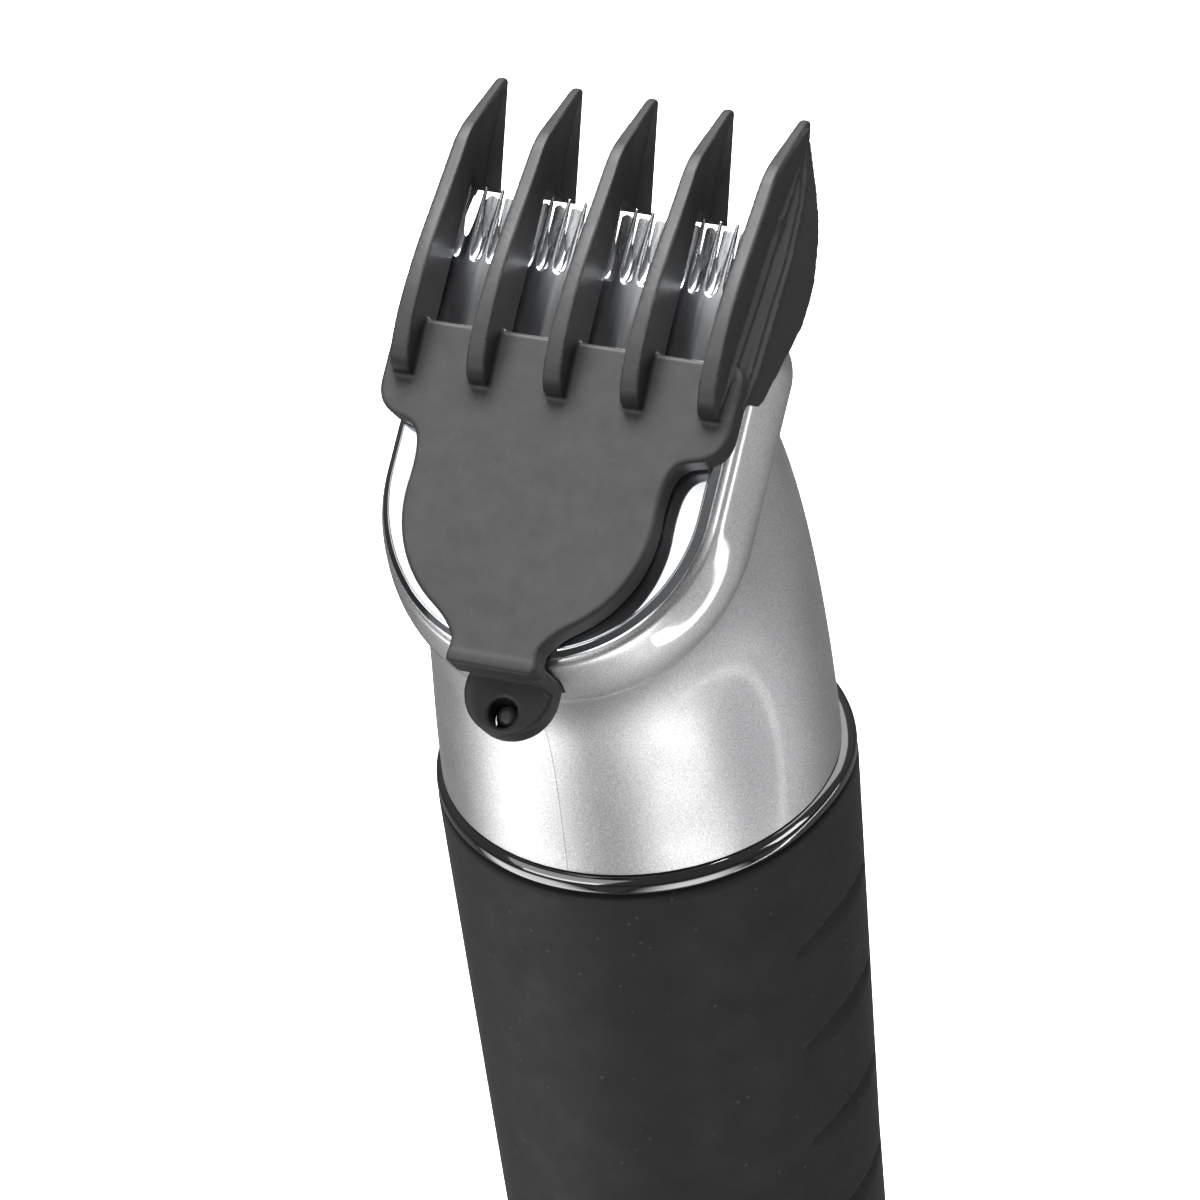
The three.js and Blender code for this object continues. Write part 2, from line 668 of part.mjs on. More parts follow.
function addSwitch() {
  const half = 4.8;
  const low = SWITCH_Z - 6;
  const high = SWITCH_Z + 6;
  const back = 20.75;
  const rim = 22.4;
  const crest = 23.3;
  const button = new THREE.Shape();
  button.moveTo(-half, back);
  button.lineTo(half, back);
  button.lineTo(half, rim);
  button.quadraticCurveTo(0, crest + crest - rim, -half, rim);
  button.closePath();
  const pad = extruded(button, low, high, 8);
  const ribs = [-3, -1, 1, 3].map((z) =>
    box(-half + 1, half - 1, crest - 1, crest + 0.35, SWITCH_Z + z - 0.4, SWITCH_Z + z + 0.4),
  );
  const stem = box(-1.8, 1.8, 15, back + 1, SWITCH_Z - 2, SWITCH_Z + 2);
  place(clipper, "power_switch", "gloss_black", join(pad, stem, ...ribs));
  const lens = rod(1.3, BOARD_Y + 2.2, gripRadius(LIGHT_Z) + 0.1);
  place(clipper, "charge_light", "lens", lens.rotateX(-Math.PI / 2).translate(0, 0, LIGHT_Z));
}

// ---------------------------------------------------------------- power pack
function addPower() {
  const cellTop = CELL_BOTTOM + CELL_LENGTH;
  const cell = join(
    rod(CELL_R, CELL_BOTTOM, cellTop, 0, CELL_Y, 28),
    rod(2.8, cellTop - 1, cellTop + 1, 0, CELL_Y),
  );
  place(clipper, "battery_cell", "cell_blue", cell);
  const plate = (z) => box(-5, 5, CELL_Y - 5, CELL_Y + 5, z, z + 0.5);
  const tag = (z) => box(-2, 2, CELL_Y + 4, BOARD_Y - 0.4, z, z + 0.5);
  place(clipper, "battery_contact_top", "brass", join(plate(cellTop + 1.3), tag(cellTop + 1.3)));
  place(clipper, "battery_contact_bottom", "brass", join(plate(CELL_BOTTOM - 0.8), tag(CELL_BOTTOM - 0.8)));

  const cradle = new THREE.Shape();
  const open = 0.62; // half angle of the cradle's opening, in radians
  cradle.absarc(0, 0, CELL_R + 1.7, Math.PI / 2 + open, Math.PI / 2 - open + 2 * Math.PI);
  cradle.absarc(0, 0, CELL_R + GAP, Math.PI / 2 - open + 2 * Math.PI, Math.PI / 2 + open, true);
  const cradleWall = extruded(cradle, CELL_BOTTOM - 4, cellTop + 3, 14).translate(0, CELL_Y, 0);
  place(clipper, "battery_cradle", "matte_black", cradleWall);

  const board = box(-9, 9, BOARD_Y, BOARD_Y + 1.2, 18, 94);
  place(clipper, "circuit_board", "board_green", board);
  const blockHigh = SWITCH_Z + SWITCH_TRAVEL + 7;
  const block = box(-4, 4, BOARD_Y + 1.5, BOARD_Y + 4.7, SWITCH_Z - 7, blockHigh);
  place(clipper, "switch_block", "spring_steel", block);
}

function addBase() {
  const top = GRIP_BOTTOM_Z - GAP;
  const plugR = gripRadius(GRIP_BOTTOM_Z) - SLEEVE_WALL - GAP - WALL - GAP;
  const plugTop = 11;
  const cup = turned([
    [0, 0],
    [18.6, 0],
    [20.2, 0.7],
    [20.9, 2.2],
    [gripRadius(0), top],
    [plugR, top],
    [plugR, plugTop],
    [plugR - 1.6, plugTop],
    [plugR - 1.6, 3.2],
    [0, 3.2],
  ]);
  const contactHoles = [-CONTACT_X, CONTACT_X].map((x) => rod(2.3, -1, 5, x));
  const screwHoles = [-BASE_SCREW_Y, BASE_SCREW_Y].flatMap((y) => [
    rod(2.6, -1, 1.4, 0, y),
    rod(1.5, -1, 5, 0, y),
  ]);
  place(clipper, "base_cap", "gloss_black", cut(toSolid(cup), ...contactHoles, ...screwHoles));
  Object.entries(SIDES).forEach(([side, sign]) => {
    const x = sign * CONTACT_X;
    const contact = join(rod(2, 0.5, 1.8, x), rod(1.2, 1.5, 12, x));
    place(clipper, "charge_contact_" + side, "brass", contact);
  });
  [
    ["front", -BASE_SCREW_Y],
    ["back", BASE_SCREW_Y],
  ].forEach(([side, y]) => {
    const screw = join(rod(2.3, 0.3, 1.1, 0, y), rod(1.2, 1, 13, 0, y));
    place(clipper, "base_screw_" + side, "spring_steel", screw);
  });
}

addNeck();
addBlades();
addComb();
addMotor();
addHandle();
addSwitch();
addPower();
addBase();

export default clipper;
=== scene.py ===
import functools
import itertools
import json
import math

import bmesh
import bpy
import numpy as np
from mathutils import Matrix, Vector

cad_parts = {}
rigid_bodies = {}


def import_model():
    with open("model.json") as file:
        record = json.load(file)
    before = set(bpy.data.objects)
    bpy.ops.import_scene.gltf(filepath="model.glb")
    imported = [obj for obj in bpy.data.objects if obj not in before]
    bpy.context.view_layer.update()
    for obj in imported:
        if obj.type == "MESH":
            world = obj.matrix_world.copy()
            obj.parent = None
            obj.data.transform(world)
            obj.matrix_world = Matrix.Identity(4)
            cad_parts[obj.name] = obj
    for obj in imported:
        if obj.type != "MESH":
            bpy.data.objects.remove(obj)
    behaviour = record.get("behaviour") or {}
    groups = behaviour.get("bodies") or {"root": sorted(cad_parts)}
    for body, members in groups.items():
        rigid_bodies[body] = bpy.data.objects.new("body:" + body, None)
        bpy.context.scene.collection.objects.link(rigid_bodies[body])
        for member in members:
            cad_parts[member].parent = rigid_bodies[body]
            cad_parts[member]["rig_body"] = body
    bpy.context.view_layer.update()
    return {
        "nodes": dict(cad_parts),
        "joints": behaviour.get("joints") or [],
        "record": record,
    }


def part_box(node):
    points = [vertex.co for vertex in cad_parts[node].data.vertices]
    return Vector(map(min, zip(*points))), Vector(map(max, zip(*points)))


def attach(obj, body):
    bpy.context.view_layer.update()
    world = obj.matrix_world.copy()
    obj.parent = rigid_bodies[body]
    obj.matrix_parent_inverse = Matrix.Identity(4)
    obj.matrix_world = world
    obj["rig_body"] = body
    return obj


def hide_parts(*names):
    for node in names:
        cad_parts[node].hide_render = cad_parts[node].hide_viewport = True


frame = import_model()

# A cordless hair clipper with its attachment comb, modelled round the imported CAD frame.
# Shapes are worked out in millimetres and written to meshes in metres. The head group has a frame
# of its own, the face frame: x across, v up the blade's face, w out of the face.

MM = 0.001


# ---------------- places taken from the frame
def box_mm(node):
    low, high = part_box(node)
    return np.array(low) / MM, np.array(high) / MM


JOINTS = {joint["name"]: joint for joint in frame["joints"]}
SLOTS = {part["node"]: part["material_slot"] for part in frame["record"]["subparts"]}
GAP = 0.3  # clearance between pieces that touch

LIFT = np.array(JOINTS["comb_lift_off"]["axis"], float)  # out of the blade's face
RISE = np.array([0, LIFT[2], -LIFT[1]])  # up the blade's face
BLADE_LOW, BLADE_HIGH = box_mm("fixed_blade")
BLADE_R = BLADE_HIGH[0]
BLADE_THICK = 1.2
GROUND_FROM = 33.5  # above here the blade's face is ground down towards the teeth, and its colour starts to darken with painted shade
GROUND_SHADE_TO = 43.0  # where the painted shade on the ground part is darkest and the ground finish roughest
FACE_ORIGIN = np.array([0, BLADE_LOW[1], BLADE_LOW[2] + BLADE_THICK * LIFT[2]])
FACE_AXES = np.array([[1, 0, 0], RISE, LIFT])

NECK_Z = box_mm("neck_shell_right")[0][2]
NECK_R = 22.0
SLEEVE_LOW, SLEEVE_HIGH = box_mm("grip_sleeve")
GRIP_TOP_Z = SLEEVE_HIGH[2]
GRIP_BOTTOM_Z = SLEEVE_LOW[2]
GRIP_TOP_R = SLEEVE_HIGH[1]
GRIP_TAPER = 0.018


def face_to_row(points):
    """Points (x, v, w) in the face frame, as points in the row frame. Both are in millimetres."""
    return FACE_ORIGIN + np.asarray(points, float) @ FACE_AXES


def grip_radius(z):
    return GRIP_TOP_R - GRIP_TAPER * (GRIP_TOP_Z - z)


# ---------------- meshes
def linked(name, data):
    obj = bpy.data.objects.new(name, data)
    bpy.context.scene.collection.objects.link(obj)
    return obj


def new_mesh(name, points, faces):
    """A mesh object from points in millimetres in the row frame."""
    mesh = bpy.data.meshes.new(name)
    mesh.from_pydata((np.asarray(points, float) * MM).tolist(), [], [list(f) for f in faces])
    mesh.update()
    return linked(name, mesh)


def baked(obj):
    """Replaces the object's mesh by what its modifiers make of it."""
    graph = bpy.context.evaluated_depsgraph_get()
    mesh = bpy.data.meshes.new_from_object(obj.evaluated_get(graph))
    obj.modifiers.clear()
    old = obj.data
    obj.data = mesh
    bpy.data.meshes.remove(old)
    return obj


def thinned(obj, ratio):
    """Fewer triangles: flat stretches lose most, curved ones least."""
    modifier = obj.modifiers.new("thin", "DECIMATE")
    modifier.ratio = ratio
    return baked(obj)


def cut_by(obj, *cutters):
    for cutter in cutters:
        modifier = obj.modifiers.new("cut", "BOOLEAN")
        modifier.object = cutter
        modifier.operation = "DIFFERENCE"
        modifier.solver = "EXACT"
    baked(obj)
    for cutter in cutters:
        bpy.data.objects.remove(cutter)
    return obj


def dress(obj, node):
    """The object gets the material slot of a CAD node, and the material of that slot."""
    obj.data.materials.clear()
    obj.data.materials.append(material_of(SLOTS[node]))


def settle(obj, node, smooth=30):
    """The piece stands for a CAD node, and takes over its body, slot and material."""
    obj.data.polygons.foreach_set("use_smooth", [True] * len(obj.data.polygons))
    obj.data.set_sharp_from_angle(angle=math.radians(smooth))
    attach(obj, frame["nodes"][node]["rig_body"])
    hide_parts(node)
    dress(obj, node)
    return obj


def grid_faces(rows, columns, wrap_rows=False, wrap_columns=False):
    """Quads over rows of points, each row going round anticlockwise as seen from its outside end."""
    faces = []
    for i in range(rows if wrap_rows else rows - 1):
        for j in range(columns if wrap_columns else columns - 1):
            a, b = i * columns, (i + 1) % rows * columns
            k = (j + 1) % columns
            faces.append((a + j, a + k, b + k, b + j))
    return faces


def arc(x, y, r, start, end, count):
    """Points (x, y) at even steps on part of a circle, from its start to its end."""
    return [(x + r * math.cos(a), y + r * math.sin(a)) for a in np.linspace(start, end, count)]


def circle(x, y, r, count):
    return arc(x, y, r, 0, 2 * math.pi * (1 - 1 / count), count)


def prism(name, near, far):
    """Two like outlines of points in the row frame, joined and closed, for cutting."""
    count = len(near)
    faces = grid_faces(2, count, wrap_columns=True)
    faces += [list(reversed(range(count))), list(range(count, 2 * count))]
    return new_mesh(name, [*near, *far], faces)


def lathe(name, profile, segments):
    """A closed profile of (radius, z) turned round the Z axis. It runs up the outside."""
    angles = np.linspace(0, 2 * math.pi, segments, endpoint=False)
    points = [(r * math.cos(a), r * math.sin(a), z) for r, z in profile for a in angles]
    faces = grid_faces(len(profile), segments, wrap_rows=True, wrap_columns=True)
    return new_mesh(name, points, faces)


def rounded(corners, radius, steps=4):
    """A closed outline with each corner replaced by a short curve that starts radius from it."""
    points = []
    count = len(corners)
    for i, corner in enumerate(np.asarray(corners, float)):
        before = np.asarray(corners[i - 1], float) - corner
        after = np.asarray(corners[(i + 1) % count], float) - corner
        r = min(radius, 0.45 * np.linalg.norm(before), 0.45 * np.linalg.norm(after))
        start = corner + before / np.linalg.norm(before) * r
        end = corner + after / np.linalg.norm(after) * r
        for t in np.linspace(0, 1, steps + 1):
            points.append((1 - t) ** 2 * start + 2 * t * (1 - t) * corner + t**2 * end)
    return np.array(points)


# ---------------- distance fields
# A field is negative inside a solid and positive outside it, in millimetres.
def polygon_field(points, x, y):
    """Distance to a closed outline in a plane."""
    nearest = np.full(np.broadcast(x, y).shape, 1e9)
    inside = np.zeros(nearest.shape, bool)
    for (x0, y0), (x1, y1) in zip(points, np.roll(points, -1, axis=0)):
        dx, dy = x1 - x0, y1 - y0
        length2 = dx * dx + dy * dy
        if length2 < 1e-12:
            continue
        t = np.clip(((x - x0) * dx + (y - y0) * dy) / length2, 0, 1)
        nearest = np.minimum(nearest, (x - x0 - t * dx) ** 2 + (y - y0 - t * dy) ** 2)
        if y0 != y1:
            inside ^= ((y0 > y) != (y1 > y)) & (x < dx * (y - y0) / dy + x0)
    return np.where(inside, -1, 1) * np.sqrt(nearest)


def common(a, b, edge=0.0):
    """Where both fields are inside, with the edge between them rounded."""
    a, b = a + edge, b + edge
    return np.minimum(np.maximum(a, b), 0) + np.hypot(np.maximum(a, 0), np.maximum(b, 0)) - edge


def slab(field, z, low, high, edge=0.3):
    return common(field, np.abs(z - (low + high) / 2) - (high - low) / 2, edge)


def merged(a, b, fillet=0.3):
    h = np.clip(0.5 + 0.5 * (b - a) / fillet, 0, 1)
    return b * (1 - h) + a * h - fillet * h * (1 - h)


def removed(a, b, edge=0.1):
    return -merged(-a, b, edge)


def block(x, y, z, low, high, edge=0.2):
    q = [np.abs(p - (a + b) / 2) - (b - a) / 2 + edge for p, a, b in zip((x, y, z), low, high)]
    outside = np.sqrt(sum(np.maximum(part, 0) ** 2 for part in q))
    return outside + np.minimum(np.maximum(np.maximum(q[0], q[1]), q[2]), 0) - edge


def surface_net(field_of, low, high, step):
    """Points and quads of the surface where a field crosses zero: one point in each crossed cell."""
    axes = [np.arange(a, b + step, step) for a, b in zip(low, high)]
    x, y, z = np.meshgrid(*axes, indexing="ij", sparse=True)
    field = np.broadcast_to(field_of(x, y, z), [len(a) for a in axes]).astype(np.float32)
    cells = np.array(field.shape) - 1
    strides = np.array([cells[1] * cells[2], cells[2], 1])
    inside = field < 0
    ids, points, quads = [], [], []
    for axis in range(3):
        near = tuple(slice(0, -1) if i == axis else slice(1, -1) for i in range(3))
        far = tuple(slice(1, None) if i == axis else slice(1, -1) for i in range(3))
        crossed = inside[near] != inside[far]
        index = np.argwhere(crossed) + [0 if i == axis else 1 for i in range(3)]
        a, b = field[near][crossed], field[far][crossed]
        point = index.astype(float)
        point[:, axis] += a / (a - b)
        u, v = [i for i in range(3) if i != axis]
        ring = []
        for du, dv in ((0, 0), (-1, 0), (-1, -1), (0, -1)):
            cell = index.copy()
            cell[:, u] += du
            cell[:, v] += dv
            ring.append(cell @ strides)
            ids.append(ring[-1])
            points.append(point)
        quad = np.stack(ring, axis=1)
        flip = (a > b) != (axis == 1)
        quad[flip] = quad[flip][:, ::-1]
        quads.append(quad)
    ids, points, quads = np.concatenate(ids), np.concatenate(points), np.concatenate(quads)
    used, place = np.unique(ids, return_inverse=True)
    counts = np.bincount(place)
    mean = np.stack([np.bincount(place, points[:, i]) / counts for i in range(3)], axis=1)
    return np.array(low) + mean * step, np.searchsorted(used, quads)


def field_piece(name, field_of, low, high, step, ratio, in_face=True):
    points, quads = surface_net(field_of, low, high, step)
    obj = new_mesh(name, face_to_row(points) if in_face else points, quads)
    return thinned(obj, ratio)


# ---------------- material building
# The first argument is the material, or the world, that owns the nodes.
def shader(name, **sockets):
    material = bpy.data.materials.new(name)
    material.use_nodes = True
    principled = material.node_tree.nodes["Principled BSDF"]
    for socket, value in sockets.items():
        principled.inputs[socket.replace("_", " ")].default_value = value
    return material, principled


def add(owner, kind, **settings):
    node = owner.node_tree.nodes.new(kind)
    for key, value in settings.items():
        if hasattr(node, key):
            setattr(node, key, value)
        else:
            node.inputs[key.replace("_", " ")].default_value = value
    return node


def link(owner, source, target):
    owner.node_tree.links.new(source, target)


def feed(owner, value, socket):
    """Sets a socket to a number or a colour, or links it to another node's output."""
    if isinstance(value, bpy.types.NodeSocket):
        link(owner, value, socket)
    elif socket.type == "RGBA":
        socket.default_value = (*value, 1)
    else:
        socket.default_value = value


def calculate(owner, operation, *values):
    node = add(owner, "ShaderNodeMath", operation=operation)
    for value, socket in zip(values, node.inputs):
        feed(owner, value, socket)
    return node.outputs[0]


def coordinates(owner, stretch=(1, 1, 1)):
    place = add(owner, "ShaderNodeTexCoord")
    mapping = add(owner, "ShaderNodeMapping", Scale=stretch)
    link(owner, place.outputs["Object"], mapping.inputs["Vector"])
    return mapping.outputs["Vector"]


def position_split(owner):
    """The three parts of the place within the object's box, or of the direction for the world."""
    place = add(owner, "ShaderNodeTexCoord")
    split = add(owner, "ShaderNodeSeparateXYZ")
    link(owner, place.outputs["Generated"], split.inputs[0])
    return split.outputs


def distance_along(owner, axis):
    """How far a point of the object lies along an axis, in metres."""
    place = add(owner, "ShaderNodeTexCoord")
    product = add(owner, "ShaderNodeVectorMath", operation="DOT_PRODUCT")
    link(owner, place.outputs["Object"], product.inputs[0])
    product.inputs[1].default_value = axis
    return product.outputs["Value"]


def noise(owner, size_mm, detail=3.0, roughness=0.5, stretch=(1, 1, 1)):
    """Noise whose grains are about size_mm across."""
    node = add(
        owner, "ShaderNodeTexNoise", Scale=1 / (size_mm * MM), Detail=detail, Roughness=roughness
    )
    link(owner, coordinates(owner, stretch), node.inputs["Vector"])
    return node.outputs["Fac"]


def spread(owner, value, low, high, start=0.3, end=0.7, curve="LINEAR"):
    """low where the value is start, and high where it is end."""
    node = add(
        owner, "ShaderNodeMapRange", interpolation_type=curve,
        From_Min=start, From_Max=end, To_Min=low, To_Max=high,
    )
    link(owner, value, node.inputs["Value"])
    return node.outputs["Result"]


def specks(owner, size_mm, share):
    """1 in a few small grains and 0 elsewhere."""
    cells = add(owner, "ShaderNodeTexVoronoi", Scale=1 / (size_mm * MM))
    link(owner, coordinates(owner), cells.inputs["Vector"])
    split = add(owner, "ShaderNodeSeparateColor")
    link(owner, cells.outputs["Color"], split.inputs["Color"])
    chosen = calculate(owner, "LESS_THAN", split.outputs["Red"], share)
    near = spread(owner, cells.outputs["Distance"], 0, 1, 0.3, 0.12)
    return calculate(owner, "MULTIPLY", chosen, near)


def two_tone(owner, value, first, second):
    """first where the value is 0 and second where it is 1: each a colour or a node's output."""
    node = add(owner, "ShaderNodeMix", data_type="RGBA")
    link(owner, value, node.inputs["Factor"])
    for colour, socket in zip((first, second), [s for s in node.inputs if s.type == "RGBA"]):
        feed(owner, colour, socket)
    return next(s for s in node.outputs if s.type == "RGBA")


def bump(owner, principled, height, distance_mm, strength):
    node = add(owner, "ShaderNodeBump", Strength=strength, Distance=distance_mm * MM)
    link(owner, height, node.inputs["Height"])
    link(owner, node.outputs["Normal"], principled.inputs["Normal"])


def mottled(name, sockets, cloud, dark, light, rough, relief, grain=None, contrast=False):
    """Colour and roughness follow one noise. The bumps follow a finer one, or else the same."""
    material, principled = shader(name, **sockets)
    value = noise(material, *cloud)
    shade = spread(material, value, 0, 1) if contrast else value
    link(material, two_tone(material, shade, dark, light), principled.inputs["Base Color"])
    link(material, spread(material, value, *rough), principled.inputs["Roughness"])
    bump(material, principled, noise(material, *grain) if grain else value, *relief)
    return material


# ---------------- the materials
COAT_W = (-10.4, -9.6)  # the clear coat starts between these, just in front of the head's back
METAL = {"Metallic": 1.0}
ACROSS = (1, 0.1, 0.1)  # brushed along y and z

# The shader's sockets, the noise behind colour and roughness, the dark and the light colour, the
# range of roughness, the depth (mm) and strength of the bumps, and where there is one, their noise.
MOTTLED = {
    "comb_black": (
        {"IOR": 1.48, "Specular_IOR_Level": 0.3}, (2.5, 8, 0.7),
        (0.026, 0.026, 0.027), (0.035, 0.035, 0.036), (0.44, 0.54), (0.012, 0.5), (0.18, 2), True,
    ),
    "inner_plastic": (
        {"IOR": 1.48}, (3, 5),
        (0.018, 0.018, 0.019), (0.034, 0.034, 0.035), (0.4, 0.55), (0.02, 0.4), (0.3,),
    ),
    "gloss_black": (
        {"IOR": 1.9, "Coat_Weight": 1.0, "Coat_Roughness": 0.04, "Coat_IOR": 1.7}, (4, 5),
        (0.006, 0.006, 0.0065), (0.010, 0.010, 0.011), (0.07, 0.14), (0.002, 0.3), (0.8,),
    ),
    "nylon": (
        {"IOR": 1.53, "Subsurface_Weight": 0.1, "Subsurface_Radius": (0.001, 0.001, 0.001)}, (1.5, 4),
        (0.66, 0.65, 0.60), (0.76, 0.75, 0.71), (0.4, 0.55), (0.01, 0.4), (0.3,),
    ),
    "board": (
        {"IOR": 1.5}, (0.8, 3, 0.5, (1, 1, 0.2)),
        (0.010, 0.07, 0.035), (0.020, 0.12, 0.06), (0.3, 0.45), (0.02, 0.4),
    ),
    "cell_wrap": (
        {"IOR": 1.5}, (3, 4),
        (0.02, 0.07, 0.22), (0.03, 0.10, 0.30), (0.22, 0.36), (0.02, 0.3),
    ),
    "lens": (
        {"IOR": 1.49, "Transmission_Weight": 0.35}, (0.6, 3),
        (0.30, 0.62, 0.34), (0.42, 0.75, 0.46), (0.1, 0.2), (0.004, 0.3),
    ),
    "blade_steel": (
        METAL, (0.6, 4, 0.6, ACROSS),
        (0.74, 0.76, 0.79), (0.86, 0.88, 0.90), (0.05, 0.09), (0.0006, 0.3),
    ),
    "cutter_steel": (
        METAL, (0.4, 4, 0.6, ACROSS),
        (0.40, 0.41, 0.42), (0.58, 0.59, 0.60), (0.2, 0.34), (0.002, 0.3),
    ),
    "motor_steel": (
        METAL, (0.5, 4, 0.6, (0.2, 0.2, 1)),
        (0.46, 0.47, 0.48), (0.62, 0.63, 0.64), (0.22, 0.36), (0.002, 0.3),
    ),
    "contact_brass": (
        METAL, (0.4, 4, 0.6, (1, 0.3, 0.3)),
        (0.66, 0.48, 0.20), (0.84, 0.64, 0.32), (0.18, 0.34), (0.002, 0.3),
    ),
}


def satin_silver():
    """Paint with fine flakes, and a clear coat on the head only."""
    material, principled = shader("satin_silver", Metallic=0.95, Coat_Roughness=0.06, Coat_IOR=2.0)
    flake = noise(material, 0.16, detail=1.5, roughness=0.6)
    shade = spread(material, flake, 0, 1, 0.35, 0.68)
    tone = two_tone(material, shade, (0.48, 0.48, 0.49), (0.74, 0.74, 0.75))
    link(material, tone, principled.inputs["Base Color"])
    cloud = noise(material, 6, detail=4)
    link(material, spread(material, cloud, 0.40, 0.48), principled.inputs["Roughness"])
    bump(material, principled, flake, 0.012, 0.6)
    start, end = (float(FACE_ORIGIN @ LIFT + w) * MM for w in COAT_W)
    on_head = spread(material, distance_along(material, LIFT), 0.12, 1, start, end)
    link(material, on_head, principled.inputs["Coat Weight"])
    return material


def rubber_black():
    material, principled = shader("rubber_black", IOR=1.40, Sheen_Weight=0.03, Sheen_Roughness=0.5)
    tone = two_tone(material, specks(material, 0.9, 0.045), (0.018, 0.018, 0.019), (0.06, 0.06, 0.06))
    link(material, tone, principled.inputs["Base Color"])
    cloud = noise(material, 5, detail=6, roughness=0.65)
    link(material, spread(material, cloud, 0.62, 0.74), principled.inputs["Roughness"])
    bump(material, principled, noise(material, 0.22, detail=2), 0.02, 0.5)
    return material


def blade_steel():
    """Polished. Towards the teeth it is rougher where it is ground, and its colour is darkened with
    painted shade that stands in for a dark reflection.
    """
    material = mottled("blade_steel", *MOTTLED["blade_steel"])
    sockets = material.node_tree.nodes["Principled BSDF"].inputs
    start, end = (float(FACE_ORIGIN @ RISE + v) * MM for v in (GROUND_FROM, GROUND_SHADE_TO))
    # Painted shade: near the teeth the colour is mixed towards black to stand in for a dark reflection.
    # The added roughness is the real ground finish.
    ground_and_shade = spread(material, distance_along(material, RISE), 0, 0.12, start, end)
    polished = sockets["Base Color"].links[0].from_socket
    link(material, two_tone(material, ground_and_shade, polished, (0, 0, 0)), sockets["Base Color"])
    smooth = sockets["Roughness"].links[0].from_socket
    link(material, calculate(material, "ADD", smooth, ground_and_shade), sockets["Roughness"])
    return material


OTHERS = {build.__name__: build for build in (satin_silver, rubber_black, blade_steel)}


@functools.cache
def material_of(slot):
    return OTHERS[slot]() if slot in OTHERS else mottled(slot, *MOTTLED[slot])


# ---------------- neck and head shells
HEAD_R = 20.2
HEAD_TOP = 42.0
HEAD_FRONT = -1.5
HEAD_BACK = -11.5
HEAD_CORNER = 6.0
NECK_END_CORNER = 12.0
NECK_END_INSET = 1.6
NECK_END_DROP = 1.3
NECK_WALL = 2.0
WALL_BACK = -3.5  # the back of the wall round the blade opening
SEAM = 0.02  # half the gap along the parting line
ROUND_COLUMNS = 150  # points along half the head's outline


def half_outline(inset, corner=HEAD_CORNER):
    """The head's outline on the +x side, from bottom centre to top centre, evenly spaced."""
    r = HEAD_R - inset
    top = HEAD_TOP - inset
    c = max(corner - inset / 2, 0.3)
    c = min(c, r - 0.2)
    path = arc(0, BLADE_R, r, -math.pi / 2, 0, 200) + arc(r - c, top - c, c, 0, math.pi / 2, 60)
    path = np.array(path + [(0, top)])
    lengths = np.concatenate([[0], np.cumsum(np.linalg.norm(np.diff(path, axis=0), axis=1))])
    even = np.linspace(0, lengths[-1], ROUND_COLUMNS)
    return np.stack([np.interp(even, lengths, path[:, i]) for i in range(2)], axis=1)


def level(inset, w, corner=HEAD_CORNER):
    outline = half_outline(inset, corner)
    return np.column_stack([outline, np.full(len(outline), w)])


def neck_rows(inset, low_z, shares):
    """Rows of the neck, which sweeps from a level circle to the back of the tilted head."""
    ends = level(inset + NECK_END_INSET, HEAD_BACK + 1.5, NECK_END_CORNER)
    ends[:, 1] -= NECK_END_DROP
    high = face_to_row(ends)
    angles = np.linspace(-math.pi / 2, math.pi / 2, ROUND_COLUMNS)
    r = NECK_R - inset
    low = np.stack([r * np.cos(angles), r * np.sin(angles), np.full(len(angles), low_z)], axis=1)
    reach = np.linalg.norm(high - low, axis=1)[:, None]
    first = low + 0.4 * reach * np.array([0, 0, 1])
    second = high - 0.3 * reach * LIFT
    return [
        (1 - t) ** 3 * low + 3 * t * (1 - t) ** 2 * first + 3 * t * t * (1 - t) * second + t**3 * high
        for t in shares
    ]


def head_rows(levels, floor_row=None):
    """Rows round the head. No point lies further in than the same point of floor_row."""
    rows = []
    for inset, w in levels:
        row = level(inset, w)
        if floor_row is not None:
            along = np.gradient(row[:, :2], axis=0)
            out = np.stack([along[:, 1], -along[:, 0]], axis=1)
            out /= np.linalg.norm(out, axis=1)[:, None]
            short = ((floor_row[:, :2] - row[:, :2]) * out).sum(axis=1)
            row[:, :2] += out * np.maximum(short, 0)[:, None]
        rows.append(face_to_row(row))
    return rows


def neck_half(name):
    """The shell on the +x side: up the outside, over the rim, and down the inside."""
    neck_end = level(NECK_END_INSET, 0, NECK_END_CORNER)
    neck_end[:, 1] -= NECK_END_DROP
    outside = neck_rows(0, NECK_Z, np.linspace(0, 0.965, 44))
    back = head_rows(
        [(1.5, HEAD_BACK), (1.0, -11.42), (0.55, -11.15), (0.2, -10.6), (0.03, -9.9)], neck_end
    )
    flank = head_rows([
        (0.0, -9.2), (0.07, -8.4), (0.18, -7.6), (0.33, -6.8), (0.51, -6.0), (0.71, -5.2), (0.92, -4.4),
        (1.13, -3.6), (1.32, -2.9), (1.46, -2.45), (1.56, -2.2), (1.72, -1.95), (1.95, -1.75), (2.2, -1.6),
        (2.5, HEAD_FRONT),
    ])
    front = head_rows([(3.5, HEAD_FRONT), (8, HEAD_FRONT), (15, HEAD_FRONT)])
    behind = head_rows(
        [(15, WALL_BACK), (8, WALL_BACK), (3.4, WALL_BACK), (3.4, -7), (3.5, HEAD_BACK + 1)]
    )
    inside = neck_rows(NECK_WALL, NECK_Z, np.linspace(0.93, 0, 16))
    rows = outside + back + flank + front + behind + inside
    for row in rows:
        row[:, 0] = np.maximum(row[:, 0], SEAM)
        row[0, 0] = row[-1, 0] = SEAM
    faces = grid_faces(len(rows), ROUND_COLUMNS, wrap_rows=True)
    faces.append([i * ROUND_COLUMNS for i in range(len(rows))])
    faces.append([i * ROUND_COLUMNS + ROUND_COLUMNS - 1 for i in reversed(range(len(rows)))])
    return new_mesh(name, np.concatenate(rows), faces)


